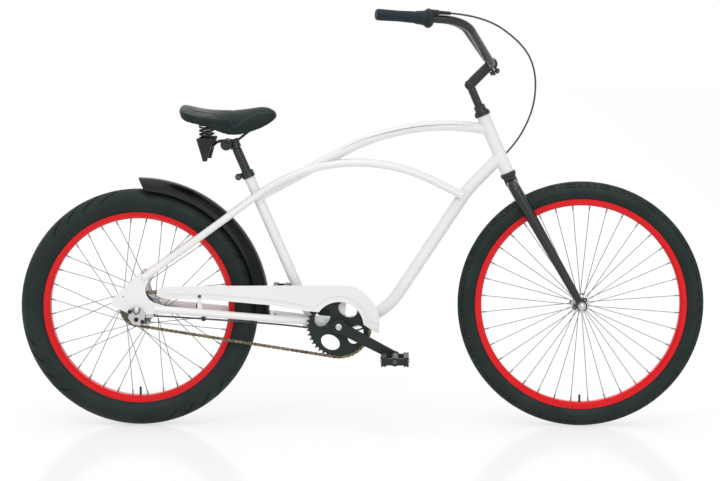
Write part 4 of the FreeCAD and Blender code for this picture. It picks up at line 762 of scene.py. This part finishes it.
# Painted, rubber and moulded finishes: colour, scale of the patches, roughness of the bright and the dull
# patches, grain, share of the colour in the dull patches, and gleam
SKINS = {
    "frame_white": ("frame_colour", 6.0, (0.3, 0.36), PEEL, 0.97, 0.5),
    "guard_white": ("frame_colour", 6.0, (0.3, 0.36), PEEL, 0.97, 0.5),
    "rim_red": ("rim_colour", 9.0, (0.3, 0.38), PEEL, 0.93, 0.2),
    "satin_black": ("black_colour", 12.0, (0.19, 0.26), COAT, 0.85, 0.5),
    "alloy_black": ("alloy_colour", 15.0, (0.36, 0.48), COAT, 0.85, 0.25),
    "fender_black": ("fender_colour", 5.0, (0.2, 0.26), PEEL, 0.9, 0.16),
    "tyre_rubber": ("rubber_colour", 14.0, (0.55, 0.7), TREAD, 0.75, 0.24),
    "tube_rubber": ("tube_colour", 20.0, (0.5, 0.65), MOULD, 0.9, 0.5),
    "grip_rubber": ("grip_colour", 25.0, (0.45, 0.58), MOULD, 0.85, 0.22),
    "black_plastic": ("plastic_colour", 30.0, (0.42, 0.55), MOULD, 0.9, 0.3),
    "cable_jacket": ("jacket_colour", 40.0, (0.4, 0.5), COAT, 0.9, 0.5),
}

# Bare metals: colour, roughness of the dark and the bright lines, and scale of the lines
METALS = {
    "spoke_steel": ("spoke_colour", (0.3, 0.42), 200.0),
    "dark_steel": ("dark_steel_colour", (0.3, 0.45), 300.0),
    "bright_steel": ("bright_steel_colour", (0.16, 0.3), 400.0),
    "hub_alloy": ("hub_colour", (0.22, 0.36), 300.0),
}


def build_finishes(settings):
    """Every finish's material, by the finish's name."""
    groups = {
        "cloud": cloud_group(),
        "grain": grain_group(),
        "pebble": pebble_group(),
        "brush": brush_group(),
    }
    colours = {
        "frame_colour": tuple(settings.frame_colour),
        "rim_colour": tuple(settings.rim_colour),
        "rubber_colour": tuple(settings.rubber_colour),
        "black_colour": tuple(settings.black_colour),
        **FIXED_COLOURS,
    }
    vinyl = tuple(settings.vinyl_colour)
    finishes = {}
    for name, (colour, *look) in SKINS.items():
        finishes[name] = skin_finish(name, colours[colour], groups, *look)
    for name, (colour, *look) in METALS.items():
        finishes[name] = metal_finish(name, colours[colour], groups, *look)
    finishes["chain_gold"] = chain_finish(groups)
    finishes["saddle_vinyl"] = vinyl_finish(vinyl, groups)
    finishes["seam_thread"] = thread_finish(vinyl, groups)
    finishes["pedal_reflector"] = reflector_finish(groups)
    finishes["stripe_grey"] = stripe_finish(groups)
    return {name: finish.material for name, finish in finishes.items()}


NODE_FINISH = {
    "frame_white": (
        "head_tube bracket_shell seat_tube top_tube down_tube dropouts stay_tube_right stay_tube_left"
        " chainstays stay_bridges"
    ),
    "guard_white": "chainguard chainguard_brackets",
    "satin_black": (
        "seat_collar fork_crown fork_blades stem handlebar seat_post bearing_cups headset_races"
        " saddle_clamp saddle_rails saddle_pan coaster_brake_arm"
    ),
    "alloy_black": "chainring crank_arm_right crank_arm_left",
    "fender_black": "rear_fender",
    "rim_red": "front_rim rear_rim",
    "tube_rubber": "front_inner_tube rear_inner_tube",
    "grip_rubber": "grip_right grip_left shifter_barrel",
    "black_plastic": "shifter_housing spring_boots cable_guides shift_pulley pedal_right pedal_left",
    "spoke_steel": "front_spokes rear_spokes",
    "bright_steel": "rear_axle front_axle crank_spindle shift_unit",
    "dark_steel": "frame_screws stem_bolts pedal_axles rear_sprocket",
    "hub_alloy": "front_hub rear_hub",
    "chain_gold": "chain",
}

FINISHES = {}


# Operators


class CRUISER_OT_finishes(bpy.types.Operator):
    """Builds the finishes and gives each solid of the frame its own"""

    bl_idname = "cruiser.finishes"
    bl_label = "Finishes"

    def execute(self, context):
        FINISHES.update(build_finishes(context.scene.cruiser_finish))
        for finish, names in NODE_FINISH.items():
            for name in names.split():
                paint(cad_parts[name], FINISHES[finish])
        return {"FINISHED"}


def tyre_blank(name, axle, outer, width, columns, rows, rim_edge, channel):
    """A round tyre whose foot is drawn in to sit between the rim's walls."""
    clear_selection()
    section = width / 2
    bpy.ops.mesh.primitive_torus_add(
        location=axle,
        rotation=(math.pi / 2, 0.0, 0.0),
        major_segments=columns,
        minor_segments=rows,
        major_radius=outer - section,
        minor_radius=section,
    )
    piece = new_piece(name)
    for spot in piece.data.vertices:
        reach = math.hypot(spot.co.x - axle.x, spot.co.z - axle.z)
        if reach < rim_edge:
            spot.co.y = max(-channel, min(channel, spot.co.y))
    return piece


def tyre_angles(point, axle, middle):
    """Degrees round the wheel, and degrees round the section from the tread's centre line."""
    across = point - axle
    reach = math.hypot(across.x, across.z)
    round_wheel = math.degrees(math.atan2(across.z, across.x))
    round_section = math.degrees(math.atan2(across.y, reach - middle))
    return round_wheel, round_section


def within(value, band):
    """Whether a value lies between the two ends of a band."""
    return band[0] < value < band[1]


class CRUISER_OT_rear_tyre(bpy.types.Operator):
    """Models the wide rear tyre with slanted shoulder cuts, centre grooves and a sidewall ridge"""

    bl_idname = "cruiser.rear_tyre"
    bl_label = "Rear tyre"

    def execute(self, context):
        settings = context.scene.cruiser_tyres
        middle = REAR_RADIUS - REAR_WIDTH / 2
        columns = settings.cut_count * COLUMNS_PER_CUT
        piece = tyre_blank(
            "rear_tyre_tread",
            REAR_AXLE,
            REAR_RADIUS,
            REAR_WIDTH,
            columns,
            REAR_ROWS,
            REAR_RIM_EDGE,
            REAR_CHANNEL,
        )
        pitch = 360.0 / settings.cut_count
        sunk = set()
        ridge = set()
        for face in piece.data.polygons:
            round_wheel, round_section = tyre_angles(face.center, REAR_AXLE, middle)
            side = abs(round_section)
            shift = pitch / 2 if round_section > 0 else 0.0
            step = (round_wheel + FIRST_CUT + shift) % pitch
            if within(side, CUT_BAND) and step < pitch / COLUMNS_PER_CUT:
                sunk.add(face.index)
            if within(side, GROOVE_BAND):
                sunk.add(face.index)
            if within(side, REAR_RIDGE_BAND):
                ridge.add(face.index)
        self.lean(piece, middle)
        push_faces(piece, sunk, -settings.cut_depth)
        push_faces(piece, ridge, REAR_RIDGE)
        smooth(piece, MOULDED_EDGE)
        paint(piece, FINISHES["tyre_rubber"])
        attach(piece, "rear_wheel")
        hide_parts("rear_tyre")
        return {"FINISHED"}

    def lean(self, piece, middle):
        """Turns the shoulders round the wheel, more towards the sidewall, so that the cuts slant."""
        for spot in piece.data.vertices:
            side = abs(tyre_angles(spot.co, REAR_AXLE, middle)[1])
            share = max(0.0, min(1.0, (side - LEAN_START) / LEAN_SPAN))
            turn = math.radians(LEAN_TURN * share * share * (3.0 - 2.0 * share))
            across = spot.co - REAR_AXLE
            spot.co.x = REAR_AXLE.x + across.x * math.cos(turn) - across.z * math.sin(turn)
            spot.co.z = REAR_AXLE.z + across.x * math.sin(turn) + across.z * math.cos(turn)


class CRUISER_OT_front_tyre(bpy.types.Operator):
    """Models the front tyre with rows of short slots in its tread and a sidewall ridge"""

    bl_idname = "cruiser.front_tyre"
    bl_label = "Front tyre"

    def execute(self, context):
        settings = context.scene.cruiser_tyres
        middle = FRONT_RADIUS - FRONT_WIDTH / 2
        columns = SLOT_COUNT * SLOT_PITCH
        piece = tyre_blank(
            "front_tyre_tread",
            FRONT_AXLE,
            FRONT_RADIUS,
            FRONT_WIDTH,
            columns,
            FRONT_ROWS,
            FRONT_RIM_EDGE,
            FRONT_CHANNEL,
        )
        slots = set()
        ridge = set()
        for face in piece.data.polygons:
            round_wheel, round_section = tyre_angles(face.center, FRONT_AXLE, middle)
            column = int((round_wheel + 180.0) / (360.0 / columns) + COUNT_SLACK)
            row = int(abs(round_section) / (360.0 / FRONT_ROWS) + COUNT_SLACK)
            along = (column + (row % 2) * SLOT_STAGGER) % SLOT_PITCH
            if row in SLOT_ROWS and along < SLOT_PITCH - SLOT_GAP:
                slots.add(face.index)
            if row == FRONT_RIDGE_ROW:
                ridge.add(face.index)
        push_faces(piece, slots, -settings.slot_depth)
        push_faces(piece, ridge, FRONT_RIDGE)
        smooth(piece, MOULDED_EDGE)
        paint(piece, FINISHES["tyre_rubber"])
        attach(piece, "front_wheel")
        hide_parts("front_tyre")
        return {"FINISHED"}


class CRUISER_OT_saddle(bpy.types.Operator):
    """Pads the saddle cover with cloth under pressure, then pipes its seams"""

    bl_idname = "cruiser.saddle"
    bl_label = "Saddle cover and seams"

    def execute(self, context):
        settings = context.scene.cruiser_saddle
        cover = self.bare_cover(context)
        self.hold_underside(cover)
        self.swell(context, cover, settings.swell)
        finer = cover.modifiers.new("finer", "SUBSURF")
        finer.levels = 1
        finer.render_levels = 1
        apply_modifier(cover, "finer")
        paint(cover, FINISHES["saddle_vinyl"])
        smooth(cover, PADDED_EDGE)
        for side, word in SIDES:
            self.seams(cover, side, word, settings.seam_radius)
        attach(cover, "saddle")
        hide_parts("saddle_cover")
        return {"FINISHED"}

    def bare_cover(self, context):
        """A copy of the cover's solid with an even, relaxed mesh."""
        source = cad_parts["saddle_cover"]
        cover = bpy.data.objects.new("saddle_padding", source.data.copy())
        context.scene.collection.objects.link(cover)
        pick(cover)
        bpy.ops.object.mode_set(mode="EDIT")
        bpy.ops.mesh.select_all(action="SELECT")
        bpy.ops.mesh.remove_doubles(threshold=MERGE_DISTANCE)
        bpy.ops.object.mode_set(mode="OBJECT")
        cover.data.remesh_voxel_size = COVER_VOXEL
        bpy.ops.object.voxel_remesh()
        relax = cover.modifiers.new("relax", "SMOOTH")
        relax.factor = 0.5
        relax.iterations = 6
        apply_modifier(cover, "relax")
        return cover

    def hold_underside(self, cover):
        """Pins the cover, apart from its top, its outer flanks and its two ends."""
        held = cover.vertex_groups.new(name="held")
        for spot in cover.data.vertices:
            flank = spot.normal.y * spot.co.y > 0 and abs(spot.normal.y) > FLANK_LEAN
            end = spot.normal.x * (spot.co.x - SADDLE_CLAMP.x) > 0 and abs(spot.normal.x) > END_LEAN
            free = spot.normal.z > TOP_LEAN or ((flank or end) and spot.normal.z > UNDER_LEAN)
            held.add([spot.index], 0.0 if free else 1.0, "REPLACE")

    def swell(self, context, cover, farthest):
        """Presses the cover out as cloth, no farther than the setting allows."""
        rest = [spot.co.copy() for spot in cover.data.vertices]
        cloth = cover.modifiers.new("padding", "CLOTH")
        cloth.settings.quality = 5
        cloth.settings.use_pressure = True
        cloth.settings.uniform_pressure_force = 4.0
        cloth.settings.effector_weights.gravity = 0.0
        cloth.settings.vertex_group_mass = "held"
        cloth.settings.tension_stiffness = 40.0
        cloth.settings.compression_stiffness = 40.0
        cloth.settings.bending_stiffness = 2.0
        for step in range(1, CLOTH_STEPS + 1):
            context.scene.frame_set(step)
        apply_modifier(cover, "padding")
        context.scene.frame_set(1)
        for spot, start in zip(cover.data.vertices, rest):
            move = spot.co - start
            if move.length > farthest:
                spot.co = start + move * (farthest / move.length)

    def seams(self, cover, side, word, radius):
        """Two piped lines on one flank: from the rear crown to the skirt, and from there to the nose."""
        for end, path in SEAMS.items():
            path = [(SADDLE_CLAMP.x + forward, SADDLE_CLAMP.z + rise) for forward, rise in path]
            piece = cord_piece(f"saddle_seam_{end}_{word}", laid_on(cover, path, side), radius, SEAM_TAPER)
            paint(piece, FINISHES["seam_thread"])
            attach(piece, "saddle")


class CRUISER_OT_springs(bpy.types.Operator):
    """Winds the two saddle springs"""

    bl_idname = "cruiser.springs"
    bl_label = "Saddle springs"

    def execute(self, context):
        radius = context.scene.cruiser_saddle.wire_radius
        coils = []
        for side, word in SIDES:
            points = []
            for step in range(COIL_STEPS + 1):
                angle = side * math.radians(360.0 * COIL_TURNS * step / COIL_STEPS)
                rise = COIL_HEIGHT * step / COIL_STEPS
                sway = Vector((math.cos(angle), math.sin(angle), 0.0)) * COIL_RADIUS
                points.append(SPRING_FOOT + Vector((0.0, side * COIL_OFFSET, rise)) + sway)
            coils.append(cord_piece("saddle_coil_" + word, points, radius))
        pick(coils[0])
        coils[1].select_set(True)
        bpy.ops.object.join()
        piece = new_piece("saddle_coils")
        smooth(piece, CORD_EDGE)
        paint(piece, FINISHES["satin_black"])
        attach(piece, "saddle_frame")
        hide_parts("saddle_springs")
        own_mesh(piece)
        return {"FINISHED"}


class CRUISER_OT_cables(bpy.types.Operator):
    """Lays the shift cable: a loop from the shifter, and a run along the frame"""

    bl_idname = "cruiser.cables"
    bl_label = "Shift cable"

    def execute(self, context):
        loop = cord_piece("shift_cable_slack", LOOP_ROUTE, CABLE_RADIUS)
        paint(loop, FINISHES["cable_jacket"])
        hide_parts("shift_cable_loop")
        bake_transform(loop)
        run = cord_piece("shift_cable_line", RUN_ROUTE, CABLE_RADIUS)
        paint(run, FINISHES["cable_jacket"])
        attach(run, "frame")
        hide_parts("shift_cable_run")
        return {"FINISHED"}


class CRUISER_OT_reflectors(bpy.types.Operator):
    """Fits a pale reflector to the front and back edge of each pedal"""

    bl_idname = "cruiser.reflectors"
    bl_label = "Pedal reflectors"

    def execute(self, context):
        for word in ("right", "left"):
            low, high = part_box("pedal_" + word)
            middle = (low + high) / 2
            for sign, end, edge in ((-1, "back", low.x), (1, "front", high.x)):
                place = (edge, middle.y, middle.z)
                clear_selection()
                bpy.ops.mesh.primitive_cube_add(size=1.0, location=place, scale=REFLECTOR_SIZE)
                piece = new_piece(f"pedal_reflector_{word}_{end}")
                outer = {face.index for face in piece.data.polygons if face.normal.x * sign > FACING}
                dish(piece, outer, REFLECTOR_RIM)
                paint(piece, FINISHES["pedal_reflector"])
                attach(piece, "pedal_" + word)
        return {"FINISHED"}


class CRUISER_OT_trim(bpy.types.Operator):
    """Lays the grey lines on the top tube, the chainguard's pressed line and the shift case's caps"""

    bl_idname = "cruiser.trim"
    bl_label = "Stripes and small trim"

    def execute(self, context):
        for side, word in SIDES:
            spots = laid_on(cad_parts["top_tube"], STRIPE, side)
            proud = [spot + Vector((0.0, side * STRIPE_PROUD, 0.0)) for spot in spots]
            piece = cord_piece("pinstripe_" + word, proud, STRIPE_RADIUS, STRIPE_TAPER)
            paint(piece, FINISHES["stripe_grey"])
            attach(piece, "frame")
        spots = laid_on(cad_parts["chainguard"], self.guard_path(), -1)
        line = cord_piece("chainguard_line", spots, GUARD_LINE_RADIUS)
        paint(line, FINISHES["guard_white"])
        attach(line, "frame")
        for word, forward, rise, across, radius in CASE_CAPS:
            place = (REAR_AXLE.x + forward, across, REAR_AXLE.z + rise)
            self.cap("shift_case_" + word, place, radius)
        return {"FINISHED"}

    def guard_path(self):
        """Along the guard's lower edge, then round above the chainring."""
        spots = list(GUARD_EDGE)
        for angle in GUARD_ARC_ANGLES:
            turn = math.radians(angle)
            spots.append((GUARD_ARC_RADIUS * math.cos(turn), GUARD_ARC_RADIUS * math.sin(turn)))
        spots.append(GUARD_END)
        return [(BRACKET.x + forward, BRACKET.z + rise) for forward, rise in spots]

    def cap(self, name, place, radius):
        """A moulded cap with a dished face, on the outer side of the shift case."""
        clear_selection()
        bpy.ops.mesh.primitive_cylinder_add(
            vertices=CAP_CORNERS,
            radius=radius,
            depth=CAP_DEPTH,
            location=place,
            rotation=(math.pi / 2, 0.0, 0.0),
        )
        piece = new_piece(name)
        outer = {face.index for face in piece.data.polygons if face.normal.y < -FACING}
        dish(piece, outer, radius * CAP_RIM_SHARE)
        paint(piece, FINISHES["black_plastic"])
        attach(piece, "frame")


def white_rays(tree):
    """A mask of the rays that show white: the camera's own, and those that mirrors and glass send on."""
    rays = tree.nodes.new("ShaderNodeLightPath")
    seen = tree.nodes.new("ShaderNodeMath")
    seen.operation = "MAXIMUM"
    tree.links.new(rays.outputs["Is Camera Ray"], seen.inputs[0])
    tree.links.new(rays.outputs["Is Glossy Ray"], seen.inputs[1])
    clear = tree.nodes.new("ShaderNodeMath")
    clear.operation = "MAXIMUM"
    tree.links.new(seen.outputs[0], clear.inputs[0])
    tree.links.new(rays.outputs["Is Transmission Ray"], clear.inputs[1])
    return clear.outputs[0]


def mix_shaders(tree, first, second):
    """A mix of two shaders, whose share of the second is still to be given."""
    mix = tree.nodes.new("ShaderNodeMixShader")
    tree.links.new(first.outputs[0], mix.inputs[1])
    tree.links.new(second.outputs[0], mix.inputs[2])
    return mix


def aim(place, target):
    """The turn that points a lamp or camera from its place at a target."""
    return (target - place).to_track_quat("-Z", "Y").to_euler()


class CRUISER_OT_stage(bpy.types.Operator):
    """Sets the pale floor, the soft lamps, the white surround and the camera"""

    bl_idname = "cruiser.stage"
    bl_label = "Stage"

    def execute(self, context):
        settings = context.scene.cruiser_stage
        self.floor()
        self.surround(context, settings.sky_level)
        for name, place, spread, level in LAMPS:
            self.lamp(name, Vector(place), spread, getattr(settings, level))
        self.camera(context)
        context.scene.view_settings.view_transform = "Standard"
        return {"FINISHED"}

    def floor(self):
        """A floor that glows white to the eye, with a faint sheen, and takes the bicycle's shadow."""
        clear_selection()
        bpy.ops.mesh.primitive_plane_add(size=FLOOR_SIZE, location=(0.0, 0.0, 0.0))
        floor = new_piece("studio_floor")
        material = bpy.data.materials.new("studio_floor")
        material.use_nodes = True
        material.cycles.emission_sampling = "NONE"
        tree = material.node_tree
        tree.nodes.clear()
        shown = white_rays(tree)
        plain = tree.nodes.new("ShaderNodeBsdfDiffuse")
        plain.inputs["Color"].default_value = FLOOR_COLOUR
        glow = tree.nodes.new("ShaderNodeEmission")
        glow.inputs["Strength"].default_value = 1.0
        polish = tree.nodes.new("ShaderNodeBsdfGlossy")
        polish.inputs["Roughness"].default_value = FLOOR_ROUGHNESS
        sheen = mix_shaders(tree, glow, polish)
        sheen.inputs["Fac"].default_value = FLOOR_SHEEN
        lit = mix_shaders(tree, sheen, plain)
        tree.links.new(self.shadow_share(tree), lit.inputs["Fac"])
        choice = mix_shaders(tree, plain, lit)
        tree.links.new(shown, choice.inputs["Fac"])
        sink = tree.nodes.new("ShaderNodeOutputMaterial")
        tree.links.new(choice.outputs[0], sink.inputs["Surface"])
        paint(floor, material)

    def shadow_share(self, tree):
        """The share of plain floor, which takes the shadow. It fades out away from the floor's middle."""
        place = tree.nodes.new("ShaderNodeTexCoord")
        reach = tree.nodes.new("ShaderNodeVectorMath")
        reach.operation = "LENGTH"
        tree.links.new(place.outputs["Object"], reach.inputs[0])
        fade = tree.nodes.new("ShaderNodeMapRange")
        fade.interpolation_type = "SMOOTHSTEP"
        fade.inputs["From Min"].default_value = SHADOW_FADE[0]
        fade.inputs["From Max"].default_value = SHADOW_FADE[1]
        fade.inputs["To Min"].default_value = SHADOW_SHARE
        fade.inputs["To Max"].default_value = 0.0
        tree.links.new(reach.outputs["Value"], fade.inputs["Value"])
        return fade.outputs["Result"]

    def surround(self, context, level):
        """A sky that lights the bicycle at its own level and looks plain white."""
        world = bpy.data.worlds.new("studio_surround")
        context.scene.world = world
        world.use_nodes = True
        tree = world.node_tree
        tree.nodes.clear()
        shown = white_rays(tree)
        sky = tree.nodes.new("ShaderNodeBackground")
        sky.inputs["Color"].default_value = WHITE
        sky.inputs["Strength"].default_value = level
        white = tree.nodes.new("ShaderNodeBackground")
        white.inputs["Color"].default_value = WHITE
        white.inputs["Strength"].default_value = 1.0
        choice = mix_shaders(tree, sky, white)
        tree.links.new(shown, choice.inputs["Fac"])
        sink = tree.nodes.new("ShaderNodeOutputWorld")
        tree.links.new(choice.outputs[0], sink.inputs["Surface"])

    def lamp(self, name, place, spread, level):
        """A lamp as wide as its spread in degrees, aimed from its place at the floor's middle."""
        clear_selection()
        bpy.ops.object.light_add(type="SUN", location=place)
        lamp = bpy.context.object
        lamp.name = name
        lamp.data.angle = math.radians(spread)
        lamp.data.energy = level
        lamp.rotation_euler = aim(place, Vector((0.0, 0.0, 0.0)))

    def camera(self, context):
        """A camera on the drive side, about as high as the handlebar."""
        clear_selection()
        bpy.ops.object.camera_add(location=CAMERA_PLACE)
        camera = bpy.context.object
        camera.name = "studio_camera"
        camera.rotation_euler = aim(CAMERA_PLACE, CAMERA_TARGET)
        camera.data.sensor_width = CAMERA_SENSOR
        camera.data.lens = CAMERA_LENS
        camera.data.clip_end = CAMERA_REACH
        context.scene.camera = camera


# Panel and registration

STEPS = (
    CRUISER_OT_finishes,
    CRUISER_OT_rear_tyre,
    CRUISER_OT_front_tyre,
    CRUISER_OT_saddle,
    CRUISER_OT_springs,
    CRUISER_OT_cables,
    CRUISER_OT_reflectors,
    CRUISER_OT_trim,
    CRUISER_OT_stage,
)


class CRUISER_PT_panel(bpy.types.Panel):
    """Lists the steps that dress the bicycle"""

    bl_idname = "CRUISER_PT_panel"
    bl_label = "Cruiser Bicycle"
    bl_space_type = "VIEW_3D"
    bl_region_type = "UI"
    bl_category = "Cruiser"

    def draw(self, context):
        for step in STEPS:
            self.layout.operator(step.bl_idname)


SETTINGS = {
    "cruiser_finish": FinishSettings,
    "cruiser_tyres": TyreSettings,
    "cruiser_saddle": SaddleSettings,
    "cruiser_stage": StageSettings,
}


def register():
    for name, group in SETTINGS.items():
        bpy.utils.register_class(group)
        setattr(bpy.types.Scene, name, PointerProperty(type=group))
    for step in STEPS:
        bpy.utils.register_class(step)
    bpy.utils.register_class(CRUISER_PT_panel)


def unregister():
    bpy.utils.unregister_class(CRUISER_PT_panel)
    for step in reversed(STEPS):
        bpy.utils.unregister_class(step)
    for name, group in SETTINGS.items():
        delattr(bpy.types.Scene, name)
        bpy.utils.unregister_class(group)


def main():
    register()
    bpy.ops.cruiser.finishes()
    bpy.ops.cruiser.rear_tyre()
    bpy.ops.cruiser.front_tyre()
    bpy.ops.cruiser.saddle()
    bpy.ops.cruiser.springs()
    bpy.ops.cruiser.cables()
    bpy.ops.cruiser.reflectors()
    bpy.ops.cruiser.trim()
    bpy.ops.cruiser.stage()


if __name__ == "__main__":
    main()
